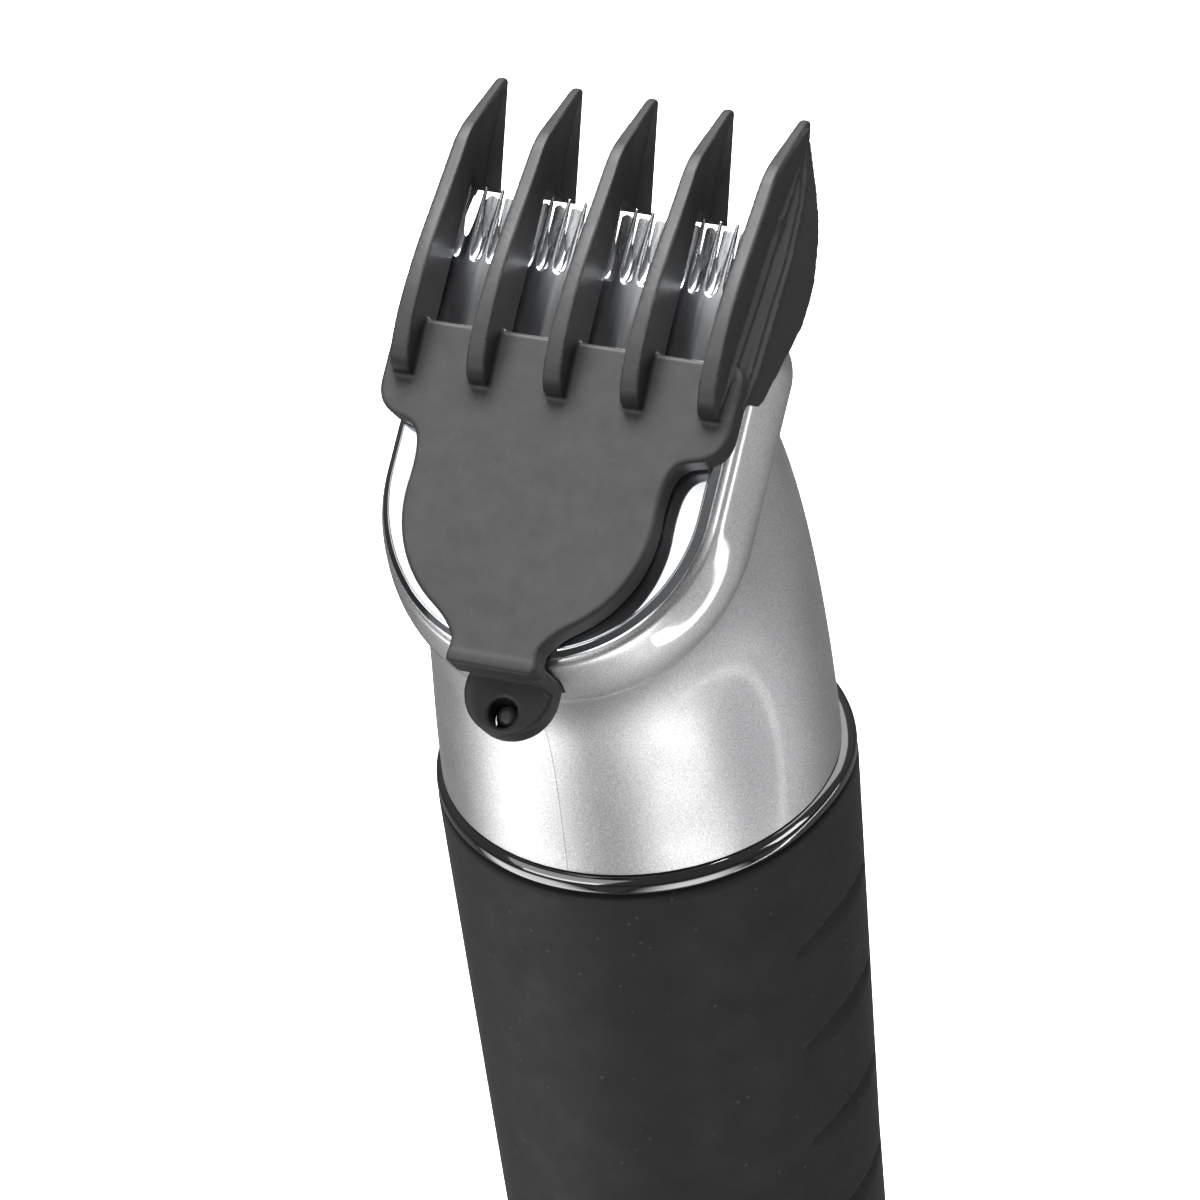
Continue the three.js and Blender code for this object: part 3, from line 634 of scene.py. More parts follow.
def face_box(name, low, high):
    """A box in the face frame, for cutting."""
    corners = list(itertools.product(*zip(low, high)))
    faces = [(0, 1, 3, 2), (4, 6, 7, 5), (0, 4, 5, 1), (2, 3, 7, 6), (0, 2, 6, 4), (1, 5, 7, 3)]
    return new_mesh(name, face_to_row(corners), faces)


def tab_recess():
    """The pocket in the head's rim that takes the comb's tab."""
    r = TAB_R + 0.15
    outline = arc(0, TAB_V, r, math.pi, 2 * math.pi, 40) + [(r, -0.6), (-r, -0.6)]
    return prism("recess", *(face_to_row([(x, v, w) for x, v in outline]) for w in (TAB_BACK - 0.4, 3)))


def add_neck():
    right = neck_half("neck_right_skin")
    window = face_box("window", (-16.5, 20, -7.2), (16.5, 50, 3))
    recess = tab_recess()
    cut_by(right, window, recess)
    left = right.copy()
    left.data = right.data.copy()
    left.name = left.data.name = "neck_left_skin"
    bpy.context.scene.collection.objects.link(left)
    left.data.transform(Matrix.Diagonal((-1, 1, 1, 1)))
    left.data.flip_normals()
    settle(right, "neck_shell_right", 25)
    settle(left, "neck_shell_left", 25)


# ---------------- attachment comb
COMB_TOP = 3.6
COMB_UNDER = 0.4
FIN_PITCH = 8.6
FIN_COUNT = 5
FIN_CENTRES = [(i - (FIN_COUNT - 1) / 2) * FIN_PITCH for i in range(FIN_COUNT)]
FIN_FOOT = 27.3
FIN_BASE = 50.7
TAB_R = 4.9
TAB_V = -2.7
TAB_FRONT = -3.5
TAB_BACK = -6.5
CATCH_V = -5.2
CATCH_HOLE_R = 1.6


def bezier(points, count=10):
    """Points along a Bezier curve, without its last point."""
    points = [np.asarray(p, float) for p in points]
    out = []
    for t in np.linspace(0, 1, count, endpoint=False):
        level_points = points
        while len(level_points) > 1:
            level_points = [a * (1 - t) + b * t for a, b in zip(level_points, level_points[1:])]
        out.append(level_points[0])
    return out


def comb_outline():
    """The plate's outline, seen along w."""
    on_bulge = arc(0, 15, 13.9, -0.95, 0.1, 24)
    right = [(TAB_R, -1.9)]
    right += bezier([(TAB_R, 0.3), (5.6, 2), on_bulge[0]], 6)
    right += on_bulge[:-1]
    right += bezier([on_bulge[-1], (13.6, 21.4), (14.6, 22.3), (16.4, 22.7)])
    right += bezier([(16.4, 22.7), (18.6, 23.1), (19.6, 24.4), (19.6, 26.6)])
    right += [(19.6, 26.6)]
    right += bezier([(19.6, 31.6), (19.6, 33.6), (18, 33.6)], 6)
    right += [(18, 33.6)]
    return np.array(right + [(-x, v) for x, v in reversed(right)])


def fin_outline():
    """One fin seen along x, as (v, w)."""
    curves = (
        (6, (FIN_FOOT, 4.6), (FIN_FOOT + 0.2, 5.6), (FIN_FOOT + 1.6, 6.3)),
        (6, (FIN_FOOT + 1.6, 6.3), (FIN_FOOT + 3, 7.2), (33, 7.5)),
        (12, (33, 7.5), (38, 7.8), (44, 6.3)),
        (6, (44, 6.3), (50, 4.9), (53.2, 4.3)),
        (6, (53.2, 4.3), (54.4, 4.0), (55.5, 3.3)),
        (4, (55.5, 3.3), (58.6, 0.9), (61.8, -1.7)),
        (8, (61.8, -1.7), (63.3, -3.0), (62.6, -3.6)),
    )
    points = [(FIN_FOOT, COMB_UNDER + 1)]
    for count, *curve in curves:
        points += bezier(curve, count)
    points += [(62.6, -3.6), (FIN_BASE, -4.9), (FIN_BASE, COMB_UNDER), (FIN_FOOT + 4, COMB_UNDER)]
    return np.array(points)


# The outer face of the comb's side wall at stations up the face. A ridge, the start of the smooth
# guard face and its back edge are each given as how far out of the face and how far across.
WALL_V = (28, 33.5, 41, 47, 53.4, 56.5, 59.3, 62)
RIDGE_W = (4.6, 3.6, 2.0, 1.0, -0.8, -1.9, -2.6, -3.0)
RIDGE_X = (18.15, 18.3, 18.35, 18.35, 18.2, 18.0, 17.85, 17.65)
FACE_W = (2.0, 0.6, -0.5, -1.6, -3.0, -3.6, -3.5, -3.2)
FACE_X = (19.6, 19.8, 19.8, 19.7, 19.0, 18.5, 18.05, 17.7)
EDGE_W = (-7.5, -7.5, -7.5, -7.5, -7.4, -6.4, -4.9, -3.5)
EDGE_X = (20.95, 20.95, 20.95, 20.85, 19.9, 19.2, 18.4, 17.75)


def guard_outline():
    """The wall over the side of the head, seen along x, as (v, w)."""
    return np.array([
        (28.6, 3.0), (30.4, 0.4), (31.0, -1.9), (31.5, -2.4), (33.6, -3.4), (37.3, -5.1), (39.3, -6.1),
        (41.8, -7.1), (44.5, -7.5), (47.4, -7.5), (49.6, -7.6), (51.7, -7.5), (54, -7), (56.2, -6.2),
        (59.3, -4.8), (61.6, -3.6), (62.1, -3.1), (61.4, -1.9), (55.6, 2.7), (53.2, 4.0), (44, 5.9),
        (38, 6.6), (32, 6.2), (28.5, 4.6),
    ])


def guard_field(x, v, w):
    """The outer fin's side wall. Behind a ridge it sweeps outwards over the side of the head."""
    s = np.abs(x)
    lines = (RIDGE_W, RIDGE_X, FACE_W, FACE_X, EDGE_W, EDGE_X)
    ridge_w, ridge_x, face_w, face_x, edge_w, edge_x = (np.interp(v, WALL_V, line) for line in lines)
    share = np.clip((ridge_w - w) / (ridge_w - face_w), 0, 1)
    outer = ridge_x + (face_x - ridge_x) * share
    outer = outer + (edge_x - face_x) * np.clip((face_w - w) / (face_w - edge_w), 0, 1.2)
    front = np.clip((w - ridge_w) / 0.5, 0, 1)
    outer = outer * (1 - front) + 18.0 * front
    fade = np.clip((62 - v) / 6, 0.25, 1)
    outer = outer + 0.32 * fade * np.exp(-(((w - ridge_w) / 0.22) ** 2))
    outer = outer - 0.25 * fade * np.exp(-(((w - ridge_w + 0.75) / 0.4) ** 2))
    outer = outer + 0.25 * fade * np.exp(-(((w - face_w - 0.9) / 0.2) ** 2))
    outer = outer + 0.22 * fade * np.exp(-(((w - face_w) / 0.25) ** 2))
    beside_blade = (w < 0.7) & (v < FIN_BASE + 0.2)
    outer = np.where(beside_blade, np.maximum(outer, 18.5), outer)
    inner = np.interp(
        w, [-8, -7, -6, -5.2, -4.4, -3.6, -2.9, -2, -1.3, COMB_UNDER, 1.5],
        [20.42, 20.2, 20.0, 19.82, 19.6, 19.35, 19.08, 18.7, 18.35, 18.15, 16.8],
    )
    inner = np.where(v > 43.5, np.minimum(inner, np.maximum(outer - 1.4, 18.15)), inner)
    inner = np.where(v > FIN_BASE, np.minimum(inner, np.maximum(outer - 1.6, 16.6)), inner)
    return common(np.maximum(s - outer, inner - s), polygon_field(guard_outline(), v, w), 0.12)


def comb_field(x, v, w):
    plate = slab(polygon_field(comb_outline(), x, v), w, COMB_UNDER, COMB_TOP, 0.45)
    tab = slab(np.hypot(x, v - TAB_V) - TAB_R, w, TAB_BACK, TAB_FRONT, 0.35)
    tab = common(tab, v + 1.2, 0)
    lip = block(x, v, w, (-TAB_R, -2.3, -0.5), (TAB_R, -0.75, COMB_TOP - 0.1), 0.45)
    wall = block(x, v, w, (-TAB_R + 0.4, -1.4, TAB_BACK + 0.2), (TAB_R, -0.75, 1.0), 0.25)
    corner = block(x, v, w, (TAB_R - 0.7, -2.5, TAB_BACK + 0.2), (TAB_R, -0.75, 1.0), 0.3)
    body = merged(merged(plate, merged(lip, merged(wall, corner, 0.3), 0.2), 0.4), tab, 0.25)
    profile = polygon_field(fin_outline(), v, w)
    half = np.interp(v, [27, 31, 37, 52, 62.5], [1.12, 1.0, 0.85, 0.78, 0.5])
    for centre in FIN_CENTRES:
        fin = common(profile, np.abs(x - centre) - half, 0.22)
        body = merged(body, fin, 0.5)
    body = merged(body, guard_field(x, v, w), 0.3)
    hole = np.hypot(x, v - CATCH_V) - CATCH_HOLE_R
    return removed(body, hole, 0.25)


def add_wedges():
    """Behind each fin's tip a wedge widens towards the blade, to lift the hair."""
    for number, centre in enumerate(FIN_CENTRES, 1):
        corners = [
            (centre + side * half, v, w)
            for side in (-1, 1)
            for half, v, w in (
                (0.8, FIN_BASE, -3.2), (2.2, FIN_BASE, -4.9), (2.1, FIN_BASE, -5.2), (0.45, 62.4, -2.6),
                (0.55, 62.6, -3.2), (0.3, 62.6, -3.7), (0.76, 56, -2.8), (0.2, 62.8, -2.9),
            )
        ]
        mesh = bmesh.new()
        for point in face_to_row(corners):
            mesh.verts.new(point * MM)
        bmesh.ops.convex_hull(mesh, input=mesh.verts)
        bmesh.ops.dissolve_limit(mesh, angle_limit=0.02, verts=mesh.verts, edges=mesh.edges)
        loose = [vert for vert in mesh.verts if not vert.link_faces]
        bmesh.ops.delete(mesh, geom=loose, context="VERTS")
        data = bpy.data.meshes.new(f"comb_wedge_{number}")
        mesh.to_mesh(data)
        mesh.free()
        wedge = linked(data.name, data)
        soften = wedge.modifiers.new("soften", "BEVEL")
        soften.width = 0.06 * MM
        soften.segments = 2
        baked(wedge)
        settle(wedge, "attachment_comb", 20)


def add_comb():
    comb = field_piece("comb", comb_field, (-22, -8.2, -8.6), (22, 64, 8.4), 0.2, 0.34)
    settle(comb, "attachment_comb", 35)
    add_wedges()


# ---------------- blades
TOOTH_PITCH = 1.9
FIXED_TEETH = 19
MOVING_TEETH = 16
MOVING_HALF_WIDTH = 15.3
MOVING_SHORT = 0.6  # how far the moving blade's tips stay below the fixed blade's
BLADE_TIP = 50.0
GULLET = 41.0
SCREW_X = 9.0
SCREW_V = 22.5
SCREW_HOLE_R = 2.9


def from_tooth(x, count):
    """Distance across from the middle of the nearest tooth, and the nearest gap, in a row about 0."""
    shift = 0 if count % 2 else TOOTH_PITCH / 2
    tooth = (x + shift + TOOTH_PITCH / 2) % TOOTH_PITCH - TOOTH_PITCH / 2
    return tooth, TOOTH_PITCH / 2 - np.abs(tooth)


GROUND_SLOPE = 0.06
JOIN = 32.9  # the flat plate goes up to here, and the teeth piece on from here
FLUTE_R = 0.84
FLUTE_FROM = GULLET + 0.7
FLUTE_DEPTH = 0.42
FLUTE_SLOPE = 0.025
SLOT_HALF = 0.3  # half the width of the moving blade's slots


def blade_teeth_field(x, v, w):
    outline = np.maximum(np.abs(x) - BLADE_R, JOIN - v)
    over = w + GROUND_SLOPE * np.maximum(v - GROUND_FROM, 0)
    plate = np.maximum(slab(outline, w, -BLADE_THICK, 0, 0.02), over)
    tooth, gap = from_tooth(x, FIXED_TEETH)
    along = np.maximum(v - FLUTE_FROM, -0.6)
    depth = FLUTE_DEPTH * (1 - np.exp(-along / 0.55)) + FLUTE_SLOPE * along
    across = np.where(np.abs(x) < (FIXED_TEETH / 2) * TOOTH_PITCH - 1, gap, 5.0)
    plate = removed(plate, np.hypot(across, over - FLUTE_R + depth) - FLUTE_R, 0.06)
    tip = BLADE_TIP - 1.6 * tooth**2 - v
    return np.maximum(plate, -tip)


def blade_body():
    """The round-bottomed plate below the teeth, with a groove and a bevel along its rim."""
    rows = []
    for inset, w in (
        (3.5, -BLADE_THICK), (0.05, -BLADE_THICK), (0, -BLADE_THICK + 0.05), (0, -0.75), (0.04, -0.68),
        (0.62, -0.2), (0.68, -0.18), (0.72, -0.24), (0.8, -0.26), (0.84, -0.2), (0.86, -0.03), (0.9, 0),
        (3.5, 0),
    ):
        r = BLADE_R - inset
        half = arc(0, BLADE_R, r, -math.pi / 2, 0, 90)
        half += [(r, BLADE_R + (JOIN - BLADE_R) * t) for t in np.linspace(0, 1, 12)[1:]]
        row = [(-x, v, w) for x, v in reversed(half[1:])] + [(x, v, w) for x, v in half]
        rows.append(face_to_row(row))
    columns = len(rows[0])
    faces = grid_faces(len(rows), columns)
    faces.append([(len(rows) - 1) * columns + j for j in range(columns)])
    faces.append(list(reversed(range(columns))))
    faces.append([i * columns + columns - 1 for i in range(len(rows))])
    faces.append([i * columns for i in reversed(range(len(rows)))])
    return new_mesh("blade_body", np.concatenate(rows), faces)


def moving_blade_field(x, v, w):
    top = -BLADE_THICK - GAP
    outline = np.maximum(28 - v, v - BLADE_TIP + MOVING_SHORT)
    outline = np.maximum(np.abs(x) - MOVING_HALF_WIDTH, outline)
    plate = slab(outline, w, top - BLADE_THICK, top, 0.08)
    tooth, gap = from_tooth(x, MOVING_TEETH)
    slot = np.maximum(gap - SLOT_HALF, GULLET + 1 - v)
    inside = np.abs(x) < (MOVING_TEETH / 2) * TOOTH_PITCH - 0.8
    plate = np.where(inside, removed(plate, slot, 0.08), plate)
    tip = BLADE_TIP - MOVING_SHORT - 0.8 * tooth**2 - v
    return np.maximum(plate, -tip)


def screw_field(x, y, z, head_r, shank_r, depth):
    """A pan head with its top at z = 0 and a cross recess, on a shank."""
    dome = np.sqrt(x * x + y * y + (z + 3 * head_r) ** 2) - 3 * head_r
    top = common(np.maximum(dome, -1.1 - z), np.hypot(x, y) - head_r, 0.12)
    shank = common(np.hypot(x, y) - shank_r, np.abs(z + depth / 2) - depth / 2, 0.05)
    arm = 0.55 * head_r
    cross = np.minimum(
        np.maximum(np.abs(x) - arm, np.abs(y) - 0.14 * head_r),
        np.maximum(np.abs(y) - arm, np.abs(x) - 0.14 * head_r),
    )
    cross = np.maximum(cross, -0.65 - z)
    return removed(merged(top, shank, 0.1), cross, 0.08)


def add_screw(name, node, place, turn, head_r, shank_r, depth):
    """place is the middle of the head's top in the row frame, and turn takes z to the screw's axis."""
    low = (-head_r - 0.3, -head_r - 0.3, -depth - 0.3)
    high = (head_r + 0.3, head_r + 0.3, 0.4)
    points, quads = surface_net(
        lambda x, y, z: screw_field(x, y, z, head_r, shank_r, depth), low, high, head_r / 20
    )
    obj = new_mesh(name, points @ np.array(turn).T + place, quads)
    return settle(thinned(obj, 0.3), node)


def add_blades():
    fixed = blade_body()
    cutters = []
    for side, across in (("left", -SCREW_X), ("right", SCREW_X)):
        place = face_to_row([across, SCREW_V, 0.1])
        add_screw("blade_screw_head_" + side, "blade_screw_" + side, place, FACE_AXES.T, 2.6, 1.2, 8.4)
        hole = circle(across, SCREW_V, SCREW_HOLE_R, 48)
        ends = (face_to_row([(x, v, w) for x, v in hole]) for w in (-3, 3))
        cutters.append(prism("hole_" + side, *ends))
    cut_by(fixed, *cutters)
    settle(fixed, "fixed_blade", 20)
    stretch = 3  # the flutes run along v, so the grid is this many times coarser that way
    points, quads = surface_net(
        lambda x, v, w: blade_teeth_field(x, stretch * v, w),
        (-18.3, (JOIN - 0.3) / stretch, -1.4), (18.3, 50.3 / stretch, 0.2), 0.065,
    )
    teeth = new_mesh("blade_teeth", face_to_row(points * (1, stretch, 1)), quads)
    settle(thinned(teeth, 0.6), "fixed_blade", 50)
    moving = field_piece(
        "blade_moving", moving_blade_field, (-15.7, 27.6, -3.1), (15.7, 49.4, -1.2), 0.12, 0.25
    )
    settle(moving, "moving_blade", 25)


def carrier_field(x, v, w):
    top = -2 * BLADE_THICK - 3 * GAP
    body = block(x, v, w, (-16.2, 20.3, -6.9), (16.2, HEAD_TOP - 0.3, top), 0.35)
    pad = block(x, v, w, (-14, 20.3, -4.5), (14, 27.4, -BLADE_THICK - GAP), 0.3)
    body = merged(body, pad, 0.3)
    body = removed(body, block(x, v, w, (-6, 28.2, -12), (6, 38.6, 2), 0.3), 0.2)
    for sign in (-1, 1):
        body = removed(body, np.hypot(x - sign * SCREW_X, v - SCREW_V) - 1.6, 0.1)
    return removed(body, block(x, v, w, (-12, 38.9, -5.6), (12, 40.6, 2), 0.1), 0.1)


def add_carrier():
    low, high = (-16.6, 19.9, -7.3), (16.6, 42.1, -1.1)
    carrier = field_piece("carrier", carrier_field, low, high, 0.25, 0.25)
    settle(carrier, "blade_carrier")


def catch_field(x, v, w):
    foot = block(x, v, w, (-1.6, -6.4, -8.8), (1.6, -2.3, TAB_BACK - GAP), 0.25)
    pin = common(np.hypot(x, v - CATCH_V) - 1.3, w - TAB_FRONT + 1.3, 0.9)
    pin = np.maximum(pin, -8 - w)
    return merged(foot, pin, 0.25)


def add_catch():
    catch = field_piece("catch_pin", catch_field, (-2, -7, -9.2), (2, -1.9, -3.8), 0.12, 0.4)
    settle(catch, "comb_catch")


# ---------------- handle
SCOOP_TOP_Z = NECK_Z - 18
SCOOP_PITCH = 14.0
SCOOP_COUNT = 5
SCOOP_DEPTH = 1.3
SLEEVE_WALL = 1.6
CUT_FROM, CUT_TO = 15, 30  # cuts through the back of the sleeve run between these places along y


def back_swell(angle, z):
    """The grip's back half stands out a little further towards its top."""
    turn = np.clip((np.sin(angle) + 0.25) / 0.6, 0, 1)
    return 0.85 * turn**2 * (3 - 2 * turn) * np.clip((z - 45) / 55, 0, 1)


def scoop_depth(angle, z):
    """How deep the finger scoops lie at an angle round from +x and at a height."""
    total = np.zeros(np.broadcast(angle, z).shape)
    side = np.arctan2(np.sin(angle), np.abs(np.cos(angle))) * GRIP_TOP_R  # mm back from the grip's side
    u = np.clip((side + 10.6) / 17.2, 0, 1)
    reach = (u * (1 - u)) ** 0.5 * 2
    opening = np.clip(reach, 0, 1) * (0.72 + 0.28 * u)
    for i in range(SCOOP_COUNT):
        rise = (z - SCOOP_TOP_Z + i * SCOOP_PITCH) / np.maximum(opening, 0.05)
        below = np.clip((rise + 2.3) / 2.6, 0, 1)
        above = np.clip((1.9 - rise) / 1.5, 0, 1)
        shape = below**2 * (3 - 2 * below) * above**2 * (3 - 2 * above)
        total = np.maximum(total, SCOOP_DEPTH * shape * np.clip(opening * 1.3, 0, 1))
    return total


def add_sleeve():
    columns = 320
    angles = np.linspace(0, 2 * math.pi, columns, endpoint=False)
    bottom_r = grip_radius(GRIP_BOTTOM_Z)
    rings = [
        (grip_radius(z) - scoop_depth(angles, z), z)
        for z in np.linspace(GRIP_BOTTOM_Z + 0.5, GRIP_TOP_Z - 0.6, 260)
    ]
    rings += [
        (GRIP_TOP_R - inset, GRIP_TOP_Z - drop)
        for inset, drop in ((0.04, 0.35), (0.16, 0.15), (0.35, 0.03), (0.6, 0), (SLEEVE_WALL, 0))
    ]
    rings += [
        (bottom_r - inset, GRIP_BOTTOM_Z + rise)
        for inset, rise in ((SLEEVE_WALL, 0), (0.5, 0), (0.12, 0.14))
    ]
    rows = []
    for radius, z in rings:
        r = radius + back_swell(angles, z)
        rows.append(np.stack([r * np.cos(angles), r * np.sin(angles), np.full(columns, z)], axis=1))
    faces = grid_faces(len(rows), columns, wrap_rows=True, wrap_columns=True)
    sleeve = new_mesh("sleeve", np.concatenate(rows), faces)
    cut_by(sleeve, switch_window(), light_hole())
    settle(sleeve, "grip_sleeve", 40)


SWITCH_LOW, SWITCH_HIGH = box_mm("power_switch")
SWITCH_TRAVEL = JOINTS["switch_slide"]["range_m"][1] / MM
LIGHT_LOW, LIGHT_HIGH = box_mm("charge_light")
LIGHT_Z = (LIGHT_LOW[2] + LIGHT_HIGH[2]) / 2


def back_cutter(name, outline):
    """An outline of (x, z) points pushed through the back of the sleeve."""
    return prism(name, *([(x, y, z) for x, z in outline] for y in (CUT_TO, CUT_FROM)))


def switch_window():
    low, high = SWITCH_LOW[2] - 1.0, SWITCH_HIGH[2] + SWITCH_TRAVEL + 1.0
    half = 5.6
    corners = [(-half, low), (half, low), (half, high), (-half, high)]
    return back_cutter("switch_window", rounded(corners, 1.6, 8))


def light_hole():
    return back_cutter("light_hole", circle(0, LIGHT_Z, 1.6, 40))


def add_trim_ring():
    low, high = (corner[2] for corner in box_mm("trim_ring"))
    swell = [
        (21.95 + 0.8 * (1 - abs(2 * t - 1) ** 3.2), low + (high - low) * (0.03 + 0.94 * t))
        for t in np.linspace(0, 1, 22)
    ]
    profile = [(19.9, low), (21.6, low)] + swell + [(21.6, high), (19.9, high)]
    ring = lathe("ring", profile, 240)
    for vertex in ring.data.vertices:
        vertex.co.xy *= 1 + back_swell(math.atan2(vertex.co.y, vertex.co.x), vertex.co.z / MM) / NECK_R
    settle(ring, "trim_ring", 40)


BASE_SCREW_Y = 12
CONTACT_X = 5


def base_cutter(name, x, y, r, depth):
    ring = circle(x, y, r, 40)
    return prism(name, *([(px, py, z) for px, py in ring] for z in (-1, depth)))


def add_base():
    top = GRIP_BOTTOM_Z - GAP
    plug_top = box_mm("base_cap")[1][2]
    plug_r = grip_radius(GRIP_BOTTOM_Z) - SLEEVE_WALL - 2 * GAP - 2
    corners = [
        (0.05, 0), (18.6, 0), (20.2, 0.7), (20.9, 2.2), (grip_radius(0), top), (plug_r, top),
        (plug_r, plug_top), (plug_r - 1.6, plug_top), (plug_r - 1.6, 3.2), (0.05, 3.2),
    ]
    cap = lathe("base", rounded(corners, 0.5, 4), 200)
    cutters = [base_cutter("contact_hole", x, 0, 2.3, 6) for x in (-CONTACT_X, CONTACT_X)]
    for y in (-BASE_SCREW_Y, BASE_SCREW_Y):
        cutters.append(base_cutter("screw_sink", 0, y, 2.6, 1.4))
        cutters.append(base_cutter("screw_bore", 0, y, 1.5, 6))
    cut_by(cap, *cutters)
    settle(cap, "base_cap", 35)
    down = np.diag([1, -1, -1])
    for side, y in (("front", -BASE_SCREW_Y), ("back", BASE_SCREW_Y)):
        place = np.array([0, y, 0.3])
        add_screw("base_screw_head_" + side, "base_screw_" + side, place, down, 2.3, 1.2, 12.5)
    profile = rounded([(0.02, 0.5), (2.0, 0.5), (2.0, 1.8), (1.2, 1.8), (1.2, 12), (0.02, 12)], 0.3, 4)
    for side, x in (("left", -CONTACT_X), ("right", CONTACT_X)):
        contact = lathe("contact_" + side, profile, 48)
        contact.data.transform(Matrix.Translation((x * MM, 0, 0)))
        settle(contact, "charge_contact_" + side)


def add_switch():
    middle = (SWITCH_LOW[2] + SWITCH_HIGH[2]) / 2
    crest = 23.3

    def field(x, y, z):
        arch = np.hypot(x, y + 1.5) - (crest + 1.5)
        pad = block(x, y, z, (-4.8, 20.75, middle - 6), (4.8, 26, middle + 6), 0.5)
        pad = common(pad, arch, 0.5)
        for i in range(-2, 3):
            rib_z = middle + 1.9 * i
            rib = block(x, y, z, (-3.6, 21.5, rib_z - 0.4), (3.6, crest + 0.35, rib_z + 0.4), 0.25)
            pad = merged(pad, rib, 0.25)
        stem = block(x, y, z, (-1.8, 15, middle - 2), (1.8, 22, middle + 2), 0.2)
        return merged(pad, stem, 0.3)

    low = (-5.2, 14.6, middle - 6.4)
    high = (5.2, 24.2, middle + 6.4)
    switch = field_piece("switch_button", field, low, high, 0.15, 0.35, in_face=False)
    settle(switch, "power_switch")


def add_light():
    foot, crest = LIGHT_LOW[1], LIGHT_HIGH[1]
    profile = rounded([(0.02, foot), (1.3, foot), (1.3, crest - 0.1), (0.02, crest)], 0.4, 5)
    dome = lathe("light_dome", profile, 40)
    dome.data.transform(Matrix.Rotation(-math.pi / 2, 4, "X"))
    dome.data.transform(Matrix.Translation((0, 0, LIGHT_Z * MM)))
    settle(dome, "charge_light")


def finish_cad_nodes():
    """The inner pieces that stay as they are get their material."""
    for name, obj in frame["nodes"].items():
        if not obj.hide_render:
            dress(obj, name)


# ---------------- stage
CAMERA_AZIMUTH = 25.74
CAMERA_ELEVATION = 38.18
CAMERA_ROLL = -7.18
CAMERA_DISTANCE = 794.0
CAMERA_TARGET = np.array([-2.8, 0, NECK_Z + 19.6])
CAMERA_LENS = 220.58
LIT_MIDDLE = np.array([0, 0, 0.12])  # the lights and cards face this place, in metres
CARD_DISTANCE = 0.9


def direction(azimuth, elevation):
    """From the object towards a place round it. Azimuth 0 is -Y and 90 is +X."""
    a, e = math.radians(azimuth), math.radians(elevation)
    return np.array([math.sin(a) * math.cos(e), -math.cos(a) * math.cos(e), math.sin(e)])


def add_camera():
    camera = linked("camera", bpy.data.cameras.new("camera"))
    back = direction(CAMERA_AZIMUTH, CAMERA_ELEVATION)
    a, roll = math.radians(CAMERA_AZIMUTH), math.radians(CAMERA_ROLL)
    level_right = np.array([math.cos(a), math.sin(a), 0])
    level_up = np.cross(back, level_right)
    right = level_right * math.cos(roll) + level_up * math.sin(roll)
    up = level_up * math.cos(roll) - level_right * math.sin(roll)
    turn = Matrix(np.column_stack([right, up, back]).tolist()).to_4x4()
    place = (CAMERA_TARGET + back * CAMERA_DISTANCE) * MM
    camera.matrix_world = Matrix.Translation(Vector(place)) @ turn
    camera.data.lens = CAMERA_LENS
    camera.data.clip_start = 0.05
    camera.data.clip_end = 50
    bpy.context.scene.camera = camera


def softbox(name, azimuth, elevation, distance, width, height, power):
    """An area light that faces the middle of the object. Lengths are in metres."""
    data = bpy.data.lights.new(name, "AREA")
    data.shape = "RECTANGLE"
    data.size, data.size_y, data.energy = width, height, power
    light = linked(name, data)
    place = Vector(LIT_MIDDLE + direction(azimuth, elevation) * distance)
    light.location = place
    light.rotation_mode = "QUATERNION"
    light.rotation_quaternion = (Vector(LIT_MIDDLE) - place).to_track_quat("-Z", "Y")


def glow_material(name, strength, fade):
    """Emission that fades out towards the card's edges; fade is a share of its width and height."""
    material = bpy.data.materials.new(name)
    material.use_nodes = True
    material.node_tree.nodes.clear()
    glow = add(material, "ShaderNodeEmission")
    out = add(material, "ShaderNodeOutputMaterial")
    link(material, glow.outputs[0], out.inputs[0])
    parts = position_split(material)
    ramps = []
    for axis, full in (("X", strength), ("Y", 1)):
        off = calculate(material, "ABSOLUTE", calculate(material, "SUBTRACT", parts[axis], 0.5))
        ramps.append(spread(material, off, 0, full, 0.5, 0.5 - fade, "SMOOTHSTEP"))
    link(material, calculate(material, "MULTIPLY", *ramps), glow.inputs["Strength"])
    material.cycles.emission_sampling = "NONE"
    return material


def reflection_only(obj):
    for ray in ("camera", "diffuse", "shadow", "transmission", "volume_scatter"):
        setattr(obj, "visible_" + ray, False)


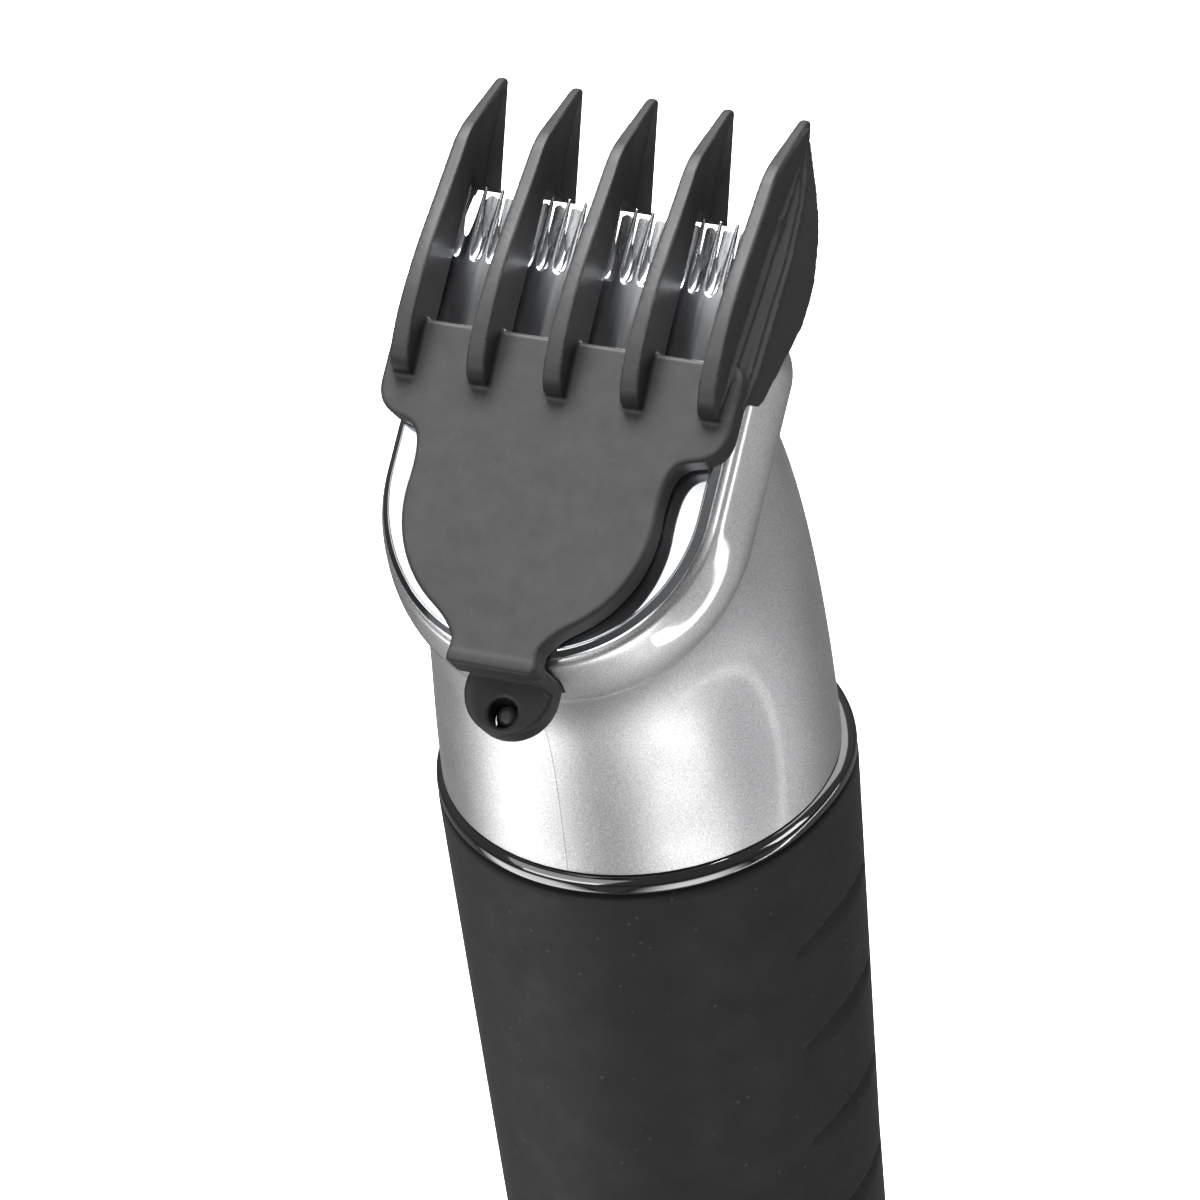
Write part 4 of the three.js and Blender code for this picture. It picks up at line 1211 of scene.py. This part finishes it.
def card(name, first, second, width, strength, fade):
    """A glowing card seen only in reflections. Its middle line runs between two directions."""
    a, b = (LIT_MIDDLE + CARD_DISTANCE * np.asarray(d) / np.linalg.norm(d) for d in (first, second))
    across = np.cross(b - a, (a + b) / 2 - LIT_MIDDLE)
    across *= width / 2 / np.linalg.norm(across)
    corners = np.array([a - across, a + across, b + across, b - across])
    centre = corners.mean(axis=0)
    along = (b - a) / np.linalg.norm(b - a)
    side = across / np.linalg.norm(across)
    axes = np.column_stack([side, along, np.cross(side, along)])
    mesh = bpy.data.meshes.new(name)
    mesh.from_pydata(((corners - centre) @ axes).tolist(), [], [(0, 1, 2, 3)])
    mesh.materials.append(glow_material(name, strength, fade))
    obj = linked(name, mesh)
    obj.matrix_world = Matrix.Translation(centre.tolist()) @ Matrix(axes.tolist()).to_4x4()
    reflection_only(obj)


def level_sheet(name, half, z):
    corners = [(-half, -half, z), (half, -half, z), (half, half, z), (-half, half, z)]
    return new_mesh(name, corners, [(0, 1, 2, 3)])


def add_stage():
    floor = level_sheet("floor", 4000, 0)
    material, principled = shader("pale_floor", Roughness=0.9, Specular_IOR_Level=0.1)
    tone = two_tone(material, noise(material, 60), (0.90, 0.90, 0.90), (0.93, 0.93, 0.93))
    link(material, tone, principled.inputs["Base Color"])
    principled.inputs["Emission Color"].default_value = (1, 1, 1, 1)
    principled.inputs["Emission Strength"].default_value = 0.8
    floor.data.materials.append(material)
    floor.visible_glossy = False
    floor.visible_diffuse = False

    world = bpy.data.worlds.new("studio")
    bpy.context.scene.world = world
    world.use_nodes = True
    sky = world.node_tree.nodes["Background"].inputs
    sky["Color"].default_value = (1, 1, 1, 1)
    link(world, spread(world, position_split(world)["Z"], 0.03, 0.13, -0.15, 0.25), sky["Strength"])
    world.cycles.sampling_method = "NONE"

    softbox("key", -150, 74, 1.4, 0.8, 0.7, 58)
    softbox("front", -24, 22, 1.4, 1.0, 0.8, 12)
    softbox("right", 100, 25, 1.3, 0.5, 0.6, 5)
    softbox("back", 170, 50, 1.6, 1.2, 0.8, 5)

    fill = level_sheet("card_fill", 4500, -900)
    fill.data.materials.append(glow_material("fill", 0.16, 0.02))
    reflection_only(fill)
    card("card_left", direction(-85, -38), direction(-12, -38), 0.75, 2.9, 0.3)
    card("card_right", direction(10, -38), direction(80, -38), 0.75, 3.4, 0.4)
    card("card_blade", direction(-25.8, 26), direction(-44, 61.8), 0.75, 1.6, 0.02)
    card("card_flank", (0.78, 0.59, -0.20), (0.52, -0.21, -0.83), 0.05, 6.5, 0.02)

    bpy.context.scene.view_settings.view_transform = "Standard"


# ---------------- all of it
add_neck()
add_comb()
add_blades()
add_carrier()
add_catch()
add_sleeve()
add_trim_ring()
add_base()
add_switch()
add_light()
finish_cad_nodes()
add_camera()
add_stage()

bpy.context.view_layer.update()
